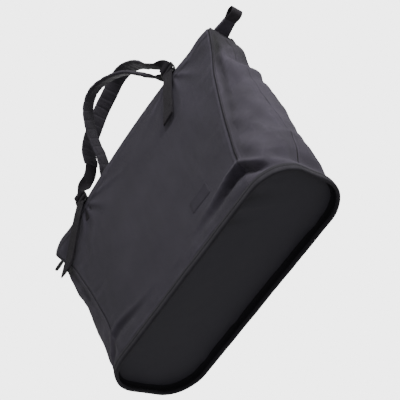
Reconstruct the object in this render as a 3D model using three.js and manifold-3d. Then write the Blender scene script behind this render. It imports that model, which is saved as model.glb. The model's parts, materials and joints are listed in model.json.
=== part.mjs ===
// Foldable zip-top tote bag with two padded handles on adjustable webbing.
// Millimetres, +Z up. Origin: centre of the plane the rim rests on.
// Front wall towards -Y, right end towards +X.
import * as THREE from 'three';
import * as BufferGeometryUtils from 'three/addons/utils/BufferGeometryUtils.js';
import Module from 'manifold-3d';

const wasm = await Module();
wasm.setup();

// ---- driving dimensions ----
// shell, outer faces
const BASE_HALF_LENGTH = 230;
const BASE_HALF_DEPTH = 88;
const BASE_CORNER_RADIUS = 60;
const TOP_HALF_LENGTH = 265.5;
const TOP_HALF_DEPTH = 28;        // at END_HEIGHT
const TOP_CORNER_RADIUS = 4;
const END_HEIGHT = 383;           // top edge at the ends
const ARCH = 30;                  // how much higher the top edge is in the middle
const GUSSET_HEIGHT = 379.5;
const WALL = 2.4;                 // canvas and coating
const SEAM_GAP = 0.25;            // on each side of a wall-to-gusset seam
const HEM_Z = 1.4;                // lower edge of the walls, inside the rim binding

// rim binding
const RIM_HEIGHT = 13;
const RIM_THICKNESS = 1.5;
const RIM_GAP = 0.5;              // between binding and wall
const RIM_FOOT = HEM_Z - 0.3;     // thickness of the part under the walls

// base panel and the two leaves of the folding stiffener
const BASE_RECESS = 15.5;         // underside of the base panel above the ground
const BASE_THICKNESS = 2;
const BASE_GAP = 0.5;             // between base panel and walls
const LEAF_WIDTH = 57;
const LEAF_THICKNESS = 2;
const LEAF_HALF_LENGTH = 184;
const LEAF_CORNER_RADIUS = 8;
const LEAF_HINGE_Y = 78;          // hinge at the back wall's foot
const LEAF_PITCH = 58;            // from that hinge to the crease
const LEAF_GAP = 0.5;             // between a leaf's back edge and its fold
const LEAF_Z = 18.3;

// webbing shared by the anchors, tails, handles and zip end loop
const WEBBING = 25;
const WEBBING_THICKNESS = 1.6;

// zip closure
const ZIP_Z = 381.4;
const ZIP_HALF_LENGTH = 262;
const STRIP_HALF_LENGTH = 261.2;
const STRIP_THICKNESS = 1.2;
const STRIP_TAPE_GAP = 0.35;
const STRIP_WEBBING_GAP = 0.9;    // between strip and anchor webbing
const TAPE_HALF_WIDTH = 5.6;
const TAPE_INNER_Y = 2.7;
const TAPE_THICKNESS = 0.8;
const TAPE_LEFT_OVERHANG = 6;     // beyond the coil
const TAPE_RIGHT_X = 290;
const COIL_INNER_Y = 0.65;
const COIL_WIDTH = 1.7;
const COIL_RIBS = 40;
const STOP_GAP = 0.5;             // between coil and stop
const STOP_LENGTH = 2.6;
const STOP_HALF_WIDTH = 2.3;
const SLIDER_X = -254;
const PULL_TAB_RISE = 5.05;       // tab's underside above ZIP_Z

// patch on the front wall
const PATCH = { x: 88, z: 99, width: 44, height: 27, radius: 4, thickness: 0.7, gap: 0.3 };

// buckles and strap tails
const STRAP_X = 152;              // handle anchors, each side of the middle
const BUCKLE_Y = 27.3;
const BUCKLE_Z = 411;
const BUCKLE_WIDTH = 33;
const BUCKLE_HEIGHT = 24;
const BUCKLE_THICKNESS = 3;
const BUCKLE_CORNER_RADIUS = 3;
const SLOT = { offset: 4.9, width: 27.4, upperHeight: 6.4, lowerHeight: 8, radius: 0.8 };
const ANCHOR_GAP = 0.4;           // between anchor webbing and the wall's inner face
const TAIL_PIVOT_Z = 407;
const TAIL_GAP = 0.9;             // between tail and buckle
const TAILS = { left: { length: 138, degrees: 38 }, right: { length: 112, degrees: 23 } };

// handles
const BAR_Z = 421;                // the buckle bar a handle turns on
const HOOK_RADIUS = 3.6;          // webbing's middle line round that bar
const HOOK_LEAD = { rise: 6, outward: 0.2 };  // loose end of the hook, outside the bar
const HANDLE_WEBBING_THICKNESS = 1.4;
const HANDLE_WEBBING_OFFSET = 0.85;  // sideways inside the grip, leaving room for the foam
const HANDLE_START = 0.004;       // fraction of the curve left out at each end
const TWIST_RANGE = [4, 62];      // distances from an end over which the webbing twists
const OFFSET_RANGE = [4, 50];     // and over which it moves to its offset
const END_STEPS = 10;             // from a hook to the grip
const GRIP_STEPS = 20;
const GRIP_WIDTH = 31;
const GRIP_THICKNESS = 6.6;
const SLEEVE_SIDE = 1.2;          // sleeve wall at the narrow sides
const SLEEVE_FACE = 1;            // sleeve wall at the broad faces
const FOAM_THICKNESS = 1;
const FOAM_OFFSET = 0.95;

// ---- the shell's shape at height z ----
const rise = (z) => Math.min(z, END_HEIGHT) / END_HEIGHT;
const halfLength = (z) => BASE_HALF_LENGTH + (TOP_HALF_LENGTH - BASE_HALF_LENGTH) * rise(z);
const halfDepth = (z) => BASE_HALF_DEPTH + (TOP_HALF_DEPTH - BASE_HALF_DEPTH) * z / END_HEIGHT;
const cornerRadius = (z) =>
  BASE_CORNER_RADIUS + (TOP_CORNER_RADIUS - BASE_CORNER_RADIUS) * rise(z);
const seamX = (z) => halfLength(z) - cornerRadius(z);
const topEdge = (across) => END_HEIGHT + ARCH * (1 - across * across);  // across: -1 to 1
const SLOPE = Math.atan((BASE_HALF_DEPTH - TOP_HALF_DEPTH) / END_HEIGHT);

// ---- outlines and ranges ----
const WALLS = [['front', -1], ['back', 1]];
const ENDS = [['left', -1], ['right', 1]];

// a rounded rectangle, anticlockwise from its lower right corner
function rounded(centreX, centreY, width, height, radius, steps = 3) {
  const points = [];
  for (const [sideX, sideY, from] of [[1, -1, -90], [1, 1, 0], [-1, 1, 90], [-1, -1, 180]])
    for (let i = 0; i <= steps; i++) {
      const angle = THREE.MathUtils.degToRad(from + 90 * i / steps);
      points.push([
        centreX + sideX * (width / 2 - radius) + radius * Math.cos(angle),
        centreY + sideY * (height / 2 - radius) + radius * Math.sin(angle),
      ]);
    }
  return points;
}

// the shell's outline at height z, grown outwards
const outline = (z, grow, steps) => rounded(
  0, 0, 2 * (halfLength(z) + grow), 2 * (halfDepth(z) + grow), cornerRadius(z) + grow, steps,
);

// the range near..far measured from the middle towards one side, in ascending order
const span = (side, near, far) => (side < 0 ? [-far, -near] : [near, far]);

// evenly spaced values, both ends included
const between = (from, to, steps) =>
  Array.from({ length: steps + 1 }, (_, i) => from + (to - from) * i / steps);

// ---- mesh helpers ----
const quad = (a, b, c, d) => [[a, b, c], [a, c, d]];

// indexed geometry, turned right side out where its signed volume is negative
function geometry(points, triangles) {
  let volume = 0;
  for (const triangle of triangles) {
    const [a, b, c] = triangle.map((i) => new THREE.Vector3(...points[i]));
    volume += a.dot(b.cross(c));
  }
  const faces = volume < 0 ? triangles.map(([a, b, c]) => [a, c, b]) : triangles;
  const result = new THREE.BufferGeometry();
  result.setAttribute('position', new THREE.Float32BufferAttribute(points.flat(), 3));
  result.setIndex(faces.flat());
  result.computeVertexNormals();
  return result;
}

// a sheet given by two grids of points, outer and inner, rows by columns
function sheet(outer, inner) {
  const rows = outer.length - 1, cols = outer[0].length - 1, triangles = [];
  const out = (i, j) => i * (cols + 1) + j;
  const inn = (i, j) => (rows + 1) * (cols + 1) + out(i, j);
  for (let i = 0; i < rows; i++)
    for (let j = 0; j < cols; j++) {
      triangles.push(...quad(out(i, j), out(i, j + 1), out(i + 1, j + 1), out(i + 1, j)));
      triangles.push(...quad(inn(i, j), inn(i + 1, j), inn(i + 1, j + 1), inn(i, j + 1)));
    }
  for (let j = 0; j < cols; j++) {
    triangles.push(...quad(out(0, j), inn(0, j), inn(0, j + 1), out(0, j + 1)));
    triangles.push(...quad(out(rows, j + 1), inn(rows, j + 1), inn(rows, j), out(rows, j)));
  }
  for (let i = 0; i < rows; i++) {
    triangles.push(...quad(out(i + 1, 0), inn(i + 1, 0), inn(i, 0), out(i, 0)));
    triangles.push(...quad(out(i, cols), inn(i, cols), inn(i + 1, cols), out(i + 1, cols)));
  }
  return geometry([...outer.flat(), ...inner.flat()], triangles);
}

// a body lofted through rings of points; ends are capped, or joined to each other if loop is true
function loft(rings, loop = false) {
  const count = rings.length, size = rings[0].length, triangles = [];
  const at = (i, j) => (i % count) * size + j % size;
  for (let i = 0; i < (loop ? count : count - 1); i++)
    for (let j = 0; j < size; j++)
      triangles.push(...quad(at(i, j), at(i, j + 1), at(i + 1, j + 1), at(i + 1, j)));
  if (!loop)
    for (let j = 1; j < size - 1; j++) {
      triangles.push([0, j + 1, j]);
      triangles.push([at(count - 1, 0), at(count - 1, j), at(count - 1, j + 1)]);
    }
  return geometry(rings.flat(), triangles);
}

// an open-ended tube lofted through outer and inner rings
function tube(outer, inner) {
  const last = outer.length - 1, size = outer[0].length, triangles = [];
  const out = (i, j) => i * size + j;
  const inn = (i, j) => (last + 1 + i) * size + j;
  for (let j = 0; j < size; j++) {
    const k = (j + 1) % size;
    for (let i = 0; i < last; i++) {
      triangles.push(...quad(out(i, j), out(i, k), out(i + 1, k), out(i + 1, j)));
      triangles.push(...quad(inn(i, j), inn(i + 1, j), inn(i + 1, k), inn(i, k)));
    }
    triangles.push(...quad(out(0, j), inn(0, j), inn(0, k), out(0, k)));
    triangles.push(...quad(out(last, j), out(last, k), inn(last, k), inn(last, j)));
  }
  return geometry([...outer.flat(), ...inner.flat()], triangles);
}

// a flat plate: the outline in X and Y, raised from z0 to z1
function plate(points, z0, z1, holes = []) {
  const vectors = (list) => list.map(([x, y]) => new THREE.Vector2(x, y));
  const shape = new THREE.Shape(vectors(points));
  for (const hole of holes) shape.holes.push(new THREE.Path(vectors(hole).reverse()));
  const result = new THREE.ExtrudeGeometry(shape, { depth: z1 - z0, bevelEnabled: false });
  return result.translate(0, 0, z0);
}

// a plate standing up: the outline in X and Z, from y0 back to y1
const upright = (points, y0, y1, holes) => plate(points, -y1, -y0, holes).rotateX(Math.PI / 2);

const box = ([x0, x1], [y0, y1], [z0, z1]) =>
  plate([[x0, y0], [x1, y0], [x1, y1], [x0, y1]], z0, z1);

function solid(source) {
  const bare = source.clone();
  for (const key of Object.keys(bare.attributes)) if (key !== 'position') bare.deleteAttribute(key);
  const welded = BufferGeometryUtils.mergeVertices(bare, 1e-4);
  return new wasm.Manifold(new wasm.Mesh({
    numProp: 3,
    vertProperties: new Float32Array(welded.getAttribute('position').array),
    triVerts: new Uint32Array(welded.getIndex().array),
  }));
}

// the boolean union of several closed geometries
function union(...parts) {
  const mesh = parts.map(solid).reduce((whole, part) => whole.add(part)).getMesh();
  const result = new THREE.BufferGeometry();
  result.setAttribute('position', new THREE.Float32BufferAttribute(mesh.vertProperties, 3));
  result.setIndex(Array.from(mesh.triVerts));
  result.computeVertexNormals();
  return result;
}

// ---- materials ----
const standard = (settings) => new THREE.MeshStandardMaterial({ metalness: 0, ...settings });
const canvas = () => standard({ color: 0x3f3c43, roughness: 0.78 });
const gussetCloth = () => standard({ color: 0x55505a, roughness: 0.7 });
const coated = () => standard({ color: 0x29292d, roughness: 0.55 });
const webbing = () => standard({ color: 0x37333a, roughness: 0.85 });
const plastic = () => standard({ color: 0x0c0c0e, roughness: 0.32 });
const board = () => standard({ color: 0x1b1b1d, roughness: 0.6 });
const foam = () => standard({ color: 0x8a8a8c, roughness: 0.95 });
const metal = () => standard({ color: 0x1a1a1c, roughness: 0.35, metalness: 0.8 });

// ---- walls, gussets and rim ----
function wallPanel(side) {
  const grid = (inset) => between(0, 1, 6).map((up) => between(-1, 1, 16).map((across) => {
    const z = HEM_Z + (topEdge(across) - HEM_Z) * up;
    return [across * (seamX(z) - SEAM_GAP), side * (halfDepth(z) - inset), z];
  }));
  return sheet(grid(0), grid(WALL));
}

// an end gusset takes in both corners of its end
function gusset(side) {
  const steps = 6, lastPoint = 2 * steps + 1;
  const row = (z, grow) => outline(z, grow, steps).slice(0, lastPoint + 1).map(([x, y], i) => {
    const gap = i === 0 || i === lastPoint ? SEAM_GAP : 0;
    return [side * (x + gap), y, z];
  });
  const grid = (grow) => between(HEM_Z, GUSSET_HEIGHT, 8).map((z) => row(z, grow));
  return sheet(grid(0), grid(-WALL));
}

// an L-shaped hem tape that wraps the walls' lower edge
function rimBinding() {
  // distance outwards from the shell, z
  const profile = [
    [RIM_GAP + RIM_THICKNESS, 0], [RIM_GAP + RIM_THICKNESS, RIM_HEIGHT],
    [RIM_GAP, RIM_HEIGHT], [RIM_GAP, RIM_FOOT],
    [-WALL, RIM_FOOT], [-WALL, 0],
  ];
  const lines = profile.map(([grow, z]) => outline(z, grow, 6).map(([x, y]) => [x, y, z]));
  return loft(lines[0].map((_, i) => lines.map((line) => line[i])), true);
}

// ---- recessed base panel and the folding stiffener on it ----
const basePanel = () =>
  plate(outline(BASE_RECESS, -WALL - BASE_GAP, 7), BASE_RECESS, BASE_RECESS + BASE_THICKNESS);

function leaf(y0, y1) {
  const points = rounded(0, (y0 + y1) / 2, 2 * LEAF_HALF_LENGTH, y1 - y0, LEAF_CORNER_RADIUS, 2);
  return plate(points, LEAF_Z, LEAF_Z + LEAF_THICKNESS);
}

// ---- recessed zip closure ----
function zipStrip(side) {
  const top = ZIP_Z + STRIP_THICKNESS;
  const outerY = halfDepth(top) - WALL - WEBBING_THICKNESS - STRIP_WEBBING_GAP;
  const range = span(side, TAPE_HALF_WIDTH + STRIP_TAPE_GAP, outerY);
  return box([-STRIP_HALF_LENGTH, STRIP_HALF_LENGTH], range, [ZIP_Z, top]);
}

const zipTape = (side) => box(
  [-ZIP_HALF_LENGTH - TAPE_LEFT_OVERHANG, TAPE_RIGHT_X],
  span(side, TAPE_INNER_Y, TAPE_HALF_WIDTH),
  [ZIP_Z, ZIP_Z + TAPE_THICKNESS],
);

// a bar with one rib to each turn of the coil
function zipCoil(side) {
  const bottom = ZIP_Z - 0.3, valley = ZIP_Z + 1.2, crest = ZIP_Z + 1.9;
  const pitch = 2 * ZIP_HALF_LENGTH / COIL_RIBS;
  const profile = [[-ZIP_HALF_LENGTH, bottom], [ZIP_HALF_LENGTH, bottom]];
  for (let i = COIL_RIBS - 1; i >= 0; i--) {
    const x = -ZIP_HALF_LENGTH + i * pitch;
    profile.push([x + pitch * 0.98, valley], [x + pitch * 0.5, crest], [x + pitch * 0.02, valley]);
  }
  return upright(profile, ...span(side, COIL_INNER_Y, COIL_INNER_Y + COIL_WIDTH));
}

function zipStop(end) {
  const near = ZIP_HALF_LENGTH + STOP_GAP;
  const range = span(end, near, near + STOP_LENGTH);
  return box(range, [-STOP_HALF_WIDTH, STOP_HALF_WIDTH], [ZIP_Z - 0.4, ZIP_Z + 2.2]);
}

// two plates joined by a post between the coils, with a bridge for the pull
function zipSlider() {
  const nose = [[-5.5, -3], [-3.5, -4.4], [5.5, -3.6], [5.5, 3.6], [-3.5, 4.4], [-5.5, 3]];
  const bridge = [
    [-4.2, 4.3], [-3, 4.3], [-3, 7.4], [3, 7.4], [3, 4.3], [4.2, 4.3], [4.2, 8.6], [-4.2, 8.6],
  ];
  return union(
    plate(nose, 2.6, 4.4),
    plate(nose, -2.2, -0.8),
    box([-4.5, -1.5], [-0.3, 0.3], [-1.5, 3.5]),
    upright(bridge, -1.2, 1.2),
  ).translate(SLIDER_X, 0, ZIP_Z);
}

// lies towards the left end, its cross bar under the bridge, a thick grip over its outer half
function zipPullTab() {
  const tab = plate(rounded(-27.1, 0, 55.8, 7, 2.5), 0, 1.4, [rounded(-3.6, 0, 5.4, 4.2, 1, 2)]);
  const grip = plate(rounded(-41.5, 0, 27, 8.4, 3), -1.6, 3);
  return union(tab, grip).translate(SLIDER_X, 0, ZIP_Z + PULL_TAB_RISE);
}

// webbing loop sewn over the tape's right end
function zipEndLoop() {
  // x, height above ZIP_Z: along the outer face, then back along the inner face
  const profile = [
    [266.4, -1.9], [292, -1.9], [300, -4.4], [308, -4.4], [313.6, -1.6], [315.2, 2.6],
    [312.8, 6.6], [306, 8.2], [299, 6.2], [292, 2.7], [266.4, 2.7],
    [266.4, 1.1], [292.4, 1.1], [299.8, 4.7], [306, 6.5], [311.4, 5.3], [313.5, 2.5],
    [312.3, -0.2], [307.6, -2.8], [300.3, -2.8], [292.3, -0.3], [266.4, -0.3],
  ];
  return upright(profile.map(([x, up]) => [x, ZIP_Z + up]), -WEBBING / 2, WEBBING / 2);
}

// ---- plain patch, low on the front wall ----
function frontPatch() {
  const { x, z, width, height, radius, thickness, gap } = PATCH;
  return upright(rounded(x, 0, width, height, radius), -thickness, 0)
    .rotateX(-SLOPE)
    .translate(0, -halfDepth(z) - gap, z);
}

// ---- ladder-lock buckles, anchor webbing and strap tails ----
// a frame with two slots; the upper bar carries the handle, the lower slot takes the anchor
function buckle(wall, end) {
  const frame = rounded(0, 0, BUCKLE_WIDTH, BUCKLE_HEIGHT, BUCKLE_CORNER_RADIUS, 2);
  const slots = [
    rounded(0, SLOT.offset, SLOT.width, SLOT.upperHeight, SLOT.radius, 1),
    rounded(0, -SLOT.offset, SLOT.width, SLOT.lowerHeight, SLOT.radius, 1),
  ];
  return upright(frame, -BUCKLE_THICKNESS / 2, BUCKLE_THICKNESS / 2, slots)
    .translate(end * STRAP_X, wall * BUCKLE_Y, BUCKLE_Z);
}

// sewn inside the wall, over the top edge and into the lower slot
function anchorWebbing(wall, end) {
  const x = end * STRAP_X, halfWidth = WEBBING / 2, halfThickness = WEBBING_THICKNESS / 2;
  const inside = (z) => halfDepth(z) - WALL - ANCHOR_GAP - halfThickness;
  const bendY = inside(404.5);
  // distance from the middle plane, z
  const path = [
    [inside(358), 358], [inside(380), 380], [bendY, 404.5],
    [bendY + 0.4, 406.4], [bendY + 1.8, 407.3], [BUCKLE_Y - 0.9, 407.5],
  ];
  return loft(path.map(([y, z], i) => {
    const before = path[Math.max(i - 1, 0)], after = path[Math.min(i + 1, path.length - 1)];
    const along = new THREE.Vector2(after[0] - before[0], after[1] - before[1]).normalize();
    const shiftY = -along.y * halfThickness, shiftZ = along.x * halfThickness;
    return [[-1, 1], [1, 1], [1, -1], [-1, -1]].map(([i, j]) =>
      [x + i * halfWidth, wall * (y + j * shiftY), z + j * shiftZ]);
  }));
}

// the loose end, with a slanted tip, lying along the wall's slope and swung about the buckle
function strapTail(wall, end, { length, degrees }) {
  const right = WEBBING / 2;
  const points = [[-right, -1.5], [right, -1.5], [right, -length - 6], [-right, -length + 8]];
  return upright(points, ...span(wall, 0, WEBBING_THICKNESS))
    .rotateY(THREE.MathUtils.degToRad(degrees))
    .rotateX(wall * SLOPE)
    .translate(end * STRAP_X, wall * (BUCKLE_Y + BUCKLE_THICKNESS / 2 + TAIL_GAP), TAIL_PIVOT_Z);
}

// ---- handles: one length of webbing each, with a padded grip in the middle ----
// lean: degrees the grip's width turns from +Y towards -Z
// pad: the grip's ends as fractions of the curve
// path: x, y, z from the right buckle to the left one
const HANDLES = {
  front: {
    lean: 13,
    pad: [0.20, 0.85],
    path: [
      [152, -23.7, 424], [150.5, -23, 433], [141, -19, 454], [122.5, -11.8, 491],
      [92, 3, 556], [60, 11.6, 592], [32, 13.2, 599], [2.7, 10.6, 588],
      [-30.7, 7.7, 576], [-58.5, 3.6, 557.5], [-85, -0.5, 537], [-100.5, -4.5, 512],
      [-109, -6.5, 479], [-123, -10, 457], [-143, -18.5, 441], [-151, -23, 431],
      [-152, -23.7, 424],
    ],
  },
  back: {
    lean: -28,
    pad: [0.16, 0.86],
    path: [
      [152, 23.7, 424], [150, 22.3, 431], [138, 13.5, 446.5], [116, -1, 465],
      [99.3, -17.7, 494.5], [81, -31, 519.5], [44, -43, 543], [10, -48, 551.5],
      [-20.7, -44.2, 544.5], [-44.6, -34, 525], [-66.4, -17.5, 495.7], [-80.5, -2.4, 467.4],
      [-99, 8.5, 447], [-125, 16, 443], [-145, 21.5, 438], [-151.3, 23.3, 431],
      [-152, 23.7, 424],
    ],
  },
};
const vector = (x, y, z) => new THREE.Vector3(x, y, z);

// A station is a point on the webbing's line, with unit vectors across the webbing (across)
// and out of its face (normal), and the webbing's shift along the normal (offset).
function stationFinder({ lean, path }) {
  const curve = new THREE.CatmullRomCurve3(path.map((p) => vector(...p)), false, 'centripetal');
  curve.arcLengthDivisions = 400;
  const length = curve.getLength(), angle = THREE.MathUtils.degToRad(lean);
  const gripAcross = vector(0, Math.cos(angle), -Math.sin(angle)), endAcross = vector(1, 0, 0);
  const squareTo = (along, v) => v.clone().addScaledVector(along, -v.dot(along)).normalize();
  return (s) => {
    const along = curve.getTangentAt(s).normalize(), fromEnd = Math.min(s, 1 - s) * length;
    const start = squareTo(along, endAcross), goal = squareTo(along, gripAcross);
    if (s > 0.5) goal.negate();
    // twist about the tangent, from the buckle's direction to the grip's
    const fullTwist = Math.atan2(start.clone().cross(goal).dot(along), start.dot(goal));
    const twist = fullTwist * THREE.MathUtils.smoothstep(fromEnd, ...TWIST_RANGE);
    const across = start.clone().applyAxisAngle(along, twist).normalize();
    if (s > 0.5) across.negate();
    return {
      point: curve.getPointAt(s),
      across,
      normal: across.clone().cross(along).normalize(),
      offset: -HANDLE_WEBBING_OFFSET * THREE.MathUtils.smoothstep(fromEnd, ...OFFSET_RANGE),
    };
  };
}

// stations round a buckle bar: down its outer side, under it and up to its inner side
function hookStations(wall, end) {
  const x = end * STRAP_X, y = wall * BUCKLE_Y;
  const station = (point, normal) => ({ point, across: vector(end, 0, 0), normal, offset: 0 });
  const leadY = y + wall * (HOOK_RADIUS + HOOK_LEAD.outward);
  const lead = station(vector(x, leadY, BAR_Z + HOOK_LEAD.rise), vector(0, 1, 0));
  const bend = between(0, Math.PI, 4).map((angle) => {
    const cos = Math.cos(angle), sin = Math.sin(angle);
    const point = vector(x, y + wall * HOOK_RADIUS * cos, BAR_Z - HOOK_RADIUS * sin);
    return station(point, vector(0, cos, -wall * sin));
  });
  return [lead, ...bend];
}

const place = ({ point, across, normal }, points) => points.map(([u, v]) =>
  point.clone().addScaledVector(across, u).addScaledVector(normal, v).toArray());

// rectangular section of a strip as wide as the webbing
const stripRing = (station, thickness, offset) =>
  place(station, [[-1, -1], [1, -1], [1, 1], [-1, 1]].map(([i, j]) =>
    [i * WEBBING / 2, offset + j * thickness / 2]));

// eight-sided section of the grip
function gripRing(station, width, thickness) {
  const side = width / 2, face = thickness / 2;
  const faceEnd = side - thickness / 3.5, sideEnd = thickness / 5;
  return place(station, [
    [-side, -sideEnd], [-side, sideEnd], [-faceEnd, face], [faceEnd, face],
    [side, sideEnd], [side, -sideEnd], [faceEnd, -face], [-faceEnd, -face],
  ]);
}

function addHandle(name, wall) {
  const handle = HANDLES[name], stationAt = stationFinder(handle);
  const [padStart, padEnd] = handle.pad;
  const grip = between(padStart, padEnd, GRIP_STEPS).map(stationAt);
  const line = [
    ...hookStations(wall, 1),
    ...between(HANDLE_START, padStart, END_STEPS).slice(0, -1).map(stationAt),
    ...grip,
    ...between(padEnd, 1 - HANDLE_START, END_STEPS).slice(1).map(stationAt),
    ...hookStations(wall, -1).reverse(),
  ];
  const strap = line.map((q) => stripRing(q, HANDLE_WEBBING_THICKNESS, q.offset));
  add('handle_webbing_' + name, loft(strap), webbing());

  // an open-ended padded sleeve with a foam strip beside the webbing
  const innerWidth = GRIP_WIDTH - 2 * SLEEVE_SIDE, innerThickness = GRIP_THICKNESS - 2 * SLEEVE_FACE;
  const outer = grip.map((q) => gripRing(q, GRIP_WIDTH, GRIP_THICKNESS));
  const inner = grip.map((q) => gripRing(q, innerWidth, innerThickness));
  add('handle_sleeve_' + name, tube(outer, inner), canvas());
  const core = grip.map((q) => stripRing(q, FOAM_THICKNESS, FOAM_OFFSET));
  add('handle_foam_' + name, loft(core), foam());
}

// ---- assembly ----
const bag = new THREE.Group();
function add(name, shape, material) {
  const mesh = new THREE.Mesh(shape, material);
  mesh.name = name;
  bag.add(mesh);
}

for (const [name, side] of WALLS) add(name + '_panel', wallPanel(side), canvas());
add('gusset_right', gusset(1), gussetCloth());
add('gusset_left', gusset(-1), gussetCloth());
add('rim_binding', rimBinding(), canvas());

const crease = LEAF_HINGE_Y - LEAF_PITCH;
add('base_panel', basePanel(), coated());
add('base_board_back', leaf(LEAF_HINGE_Y - LEAF_WIDTH, LEAF_HINGE_Y - LEAF_GAP), board());
add('base_board_front', leaf(crease - LEAF_GAP - LEAF_WIDTH, crease - LEAF_GAP), board());

for (const [name, side] of WALLS) {
  add('zip_strip_' + name, zipStrip(side), canvas());
  add('zip_tape_' + name, zipTape(side), webbing());
  add('zip_coil_' + name, zipCoil(side), plastic());
}
for (const [name, end] of ENDS) add('zip_stop_' + name, zipStop(end), metal());
add('zip_slider', zipSlider(), metal());
add('zip_pull_tab', zipPullTab(), metal());
add('zip_end_loop', zipEndLoop(), webbing());
add('front_patch', frontPatch(), coated());

for (const [wallName, wall] of WALLS)
  for (const [endName, end] of ENDS) {
    const tag = wallName + '_' + endName;
    add('buckle_' + tag, buckle(wall, end), plastic());
    add('anchor_webbing_' + tag, anchorWebbing(wall, end), webbing());
    add('strap_tail_' + tag, strapTail(wall, end, TAILS[endName]), webbing());
  }
for (const [name, wall] of WALLS) addHandle(name, wall);

export default bag;
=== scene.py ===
# Folding zip-top tote. It stands on z = 0, centred on the origin, with its length along X
# (left end at -X). The front wall faces -Y and the back wall +Y; the zip runs along X at the
# top. Lengths are millimetres until build() turns them into metres.
from functools import partial, reduce
import bpy
import bmesh
import json
import math
import numpy as np
from mathutils import Vector, Matrix

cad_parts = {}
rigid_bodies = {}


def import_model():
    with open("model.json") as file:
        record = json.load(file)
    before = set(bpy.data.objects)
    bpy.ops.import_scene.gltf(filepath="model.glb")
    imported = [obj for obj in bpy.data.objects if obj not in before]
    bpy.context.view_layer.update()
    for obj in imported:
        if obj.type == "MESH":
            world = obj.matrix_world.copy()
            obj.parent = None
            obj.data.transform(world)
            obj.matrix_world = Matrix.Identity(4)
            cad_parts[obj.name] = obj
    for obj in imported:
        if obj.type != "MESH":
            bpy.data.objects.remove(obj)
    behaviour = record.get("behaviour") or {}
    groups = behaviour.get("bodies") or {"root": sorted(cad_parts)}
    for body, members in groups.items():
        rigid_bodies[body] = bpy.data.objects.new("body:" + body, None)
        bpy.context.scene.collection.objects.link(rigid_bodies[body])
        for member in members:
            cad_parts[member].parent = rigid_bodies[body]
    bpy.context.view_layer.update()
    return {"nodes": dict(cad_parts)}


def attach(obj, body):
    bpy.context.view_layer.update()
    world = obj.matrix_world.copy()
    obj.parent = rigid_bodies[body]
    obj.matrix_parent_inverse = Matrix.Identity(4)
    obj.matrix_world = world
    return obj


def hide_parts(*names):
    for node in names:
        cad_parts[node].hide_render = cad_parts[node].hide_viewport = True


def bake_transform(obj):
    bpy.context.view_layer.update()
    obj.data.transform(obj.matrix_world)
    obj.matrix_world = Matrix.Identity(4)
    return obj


MM = 0.001
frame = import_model()
scene = bpy.context.scene

# ---- the CAD's own shell, so that the cloth sits on it ----
BASE_HALF_LENGTH, BASE_HALF_DEPTH, BASE_CORNER = 230.0, 88.0, 60.0
TOP_HALF_LENGTH, TOP_HALF_DEPTH, TOP_CORNER = 265.5, 28.0, 4.0
END_HEIGHT = 383.0          # where the long walls' top edge starts at each side
ARCH = 30.0                 # how far that edge rises at the middle
GUSSET_TOP = 381.0
WALL = 2.4                  # cloth thickness
FOOT_Z = 1.4                # lower edge of the wall cloths
SLOPE = math.atan((BASE_HALF_DEPTH - TOP_HALF_DEPTH) / END_HEIGHT)
STRAP_X = 152.0             # the four strap places, left and right
WEB_HALF = 12.4             # half width of the webbing
ZIP_Z = 381.4
X_AXIS, Y_AXIS = np.array([1.0, 0, 0]), np.array([0, 1.0, 0])


def rise(low, high, x):
    """Smooth step from 0 to 1."""
    k = np.clip((np.asarray(x, float) - low) / (high - low), 0, 1)
    return k * k * (3 - 2 * k)


def fall(low, high, x):
    return 1 - rise(low, high, x)


def bump(centre, width, x):
    return np.exp(-((np.asarray(x, float) - centre) / width) ** 2)


def limit(value):
    return np.clip(value, 0, 1)


def height_share(z):
    return np.minimum(z, END_HEIGHT) / END_HEIGHT


def half_length(z):
    return BASE_HALF_LENGTH + (TOP_HALF_LENGTH - BASE_HALF_LENGTH) * height_share(z)


def half_depth(z):
    return BASE_HALF_DEPTH + (TOP_HALF_DEPTH - BASE_HALF_DEPTH) * np.asarray(z, float) / END_HEIGHT


def corner(z):
    return BASE_CORNER + (TOP_CORNER - BASE_CORNER) * height_share(z)


def seam_inset(z):
    """How far the side seam lies on the long wall, before the corner starts."""
    return 15.5 * rise(5, 120, z) * fall(270, 372, z)


def seam_x(z):
    return half_length(z) - corner(z) - seam_inset(z)


def top_edge(u):
    """Height of a long wall's top edge; u runs from -1 to 1 between the seams."""
    return END_HEIGHT + ARCH * (1 - u * u)


def shell_normal(side):
    return np.array([0, side * math.cos(SLOPE), math.sin(SLOPE)])


# ---- deterministic noise ----
def lattice_value(ix, iy, iz, seed):
    n = (ix * 73856093) ^ (iy * 19349663) ^ (iz * 83492791) ^ (seed * 40503 + 977)
    n = n & 0x7FFFFFFF
    n = ((n ^ (n >> 13)) * 1274126177) & 0x7FFFFFFF
    n = ((n ^ (n >> 15)) * 668265263) & 0x7FFFFFFF
    return ((n ^ (n >> 11)) & 0xFFFF) / 65535.0 * 2 - 1


def noise(x, y, z, seed):
    """Smooth noise, -1 to 1, over a unit lattice."""
    points = columns(x, y, z).astype(float)
    cell = np.floor(points).astype(np.int64)
    f = points - cell
    f = f * f * f * (f * (f * 6 - 15) + 10)
    total = 0
    for dx in (0, 1):
        for dy in (0, 1):
            for dz in (0, 1):
                weight = 1
                for axis, step in enumerate((dx, dy, dz)):
                    weight = weight * (f[..., axis] if step else 1 - f[..., axis])
                total = total + weight * lattice_value(
                    cell[..., 0] + dx, cell[..., 1] + dy, cell[..., 2] + dz, seed)
    return total


def ridged(x, y, z, seed):
    """Noise with sharp crests."""
    return 1 - 2 * np.abs(noise(x, y, z, seed))


# ---- points and paths ----
def columns(*coords):
    """Coordinates, broadcast together, as the last axis of one array."""
    return np.stack(np.broadcast_arrays(*coords), -1)


def unit(v):
    v = np.asarray(v, float)
    return v / np.maximum(np.linalg.norm(v, axis=-1, keepdims=True), 1e-12)


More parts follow.
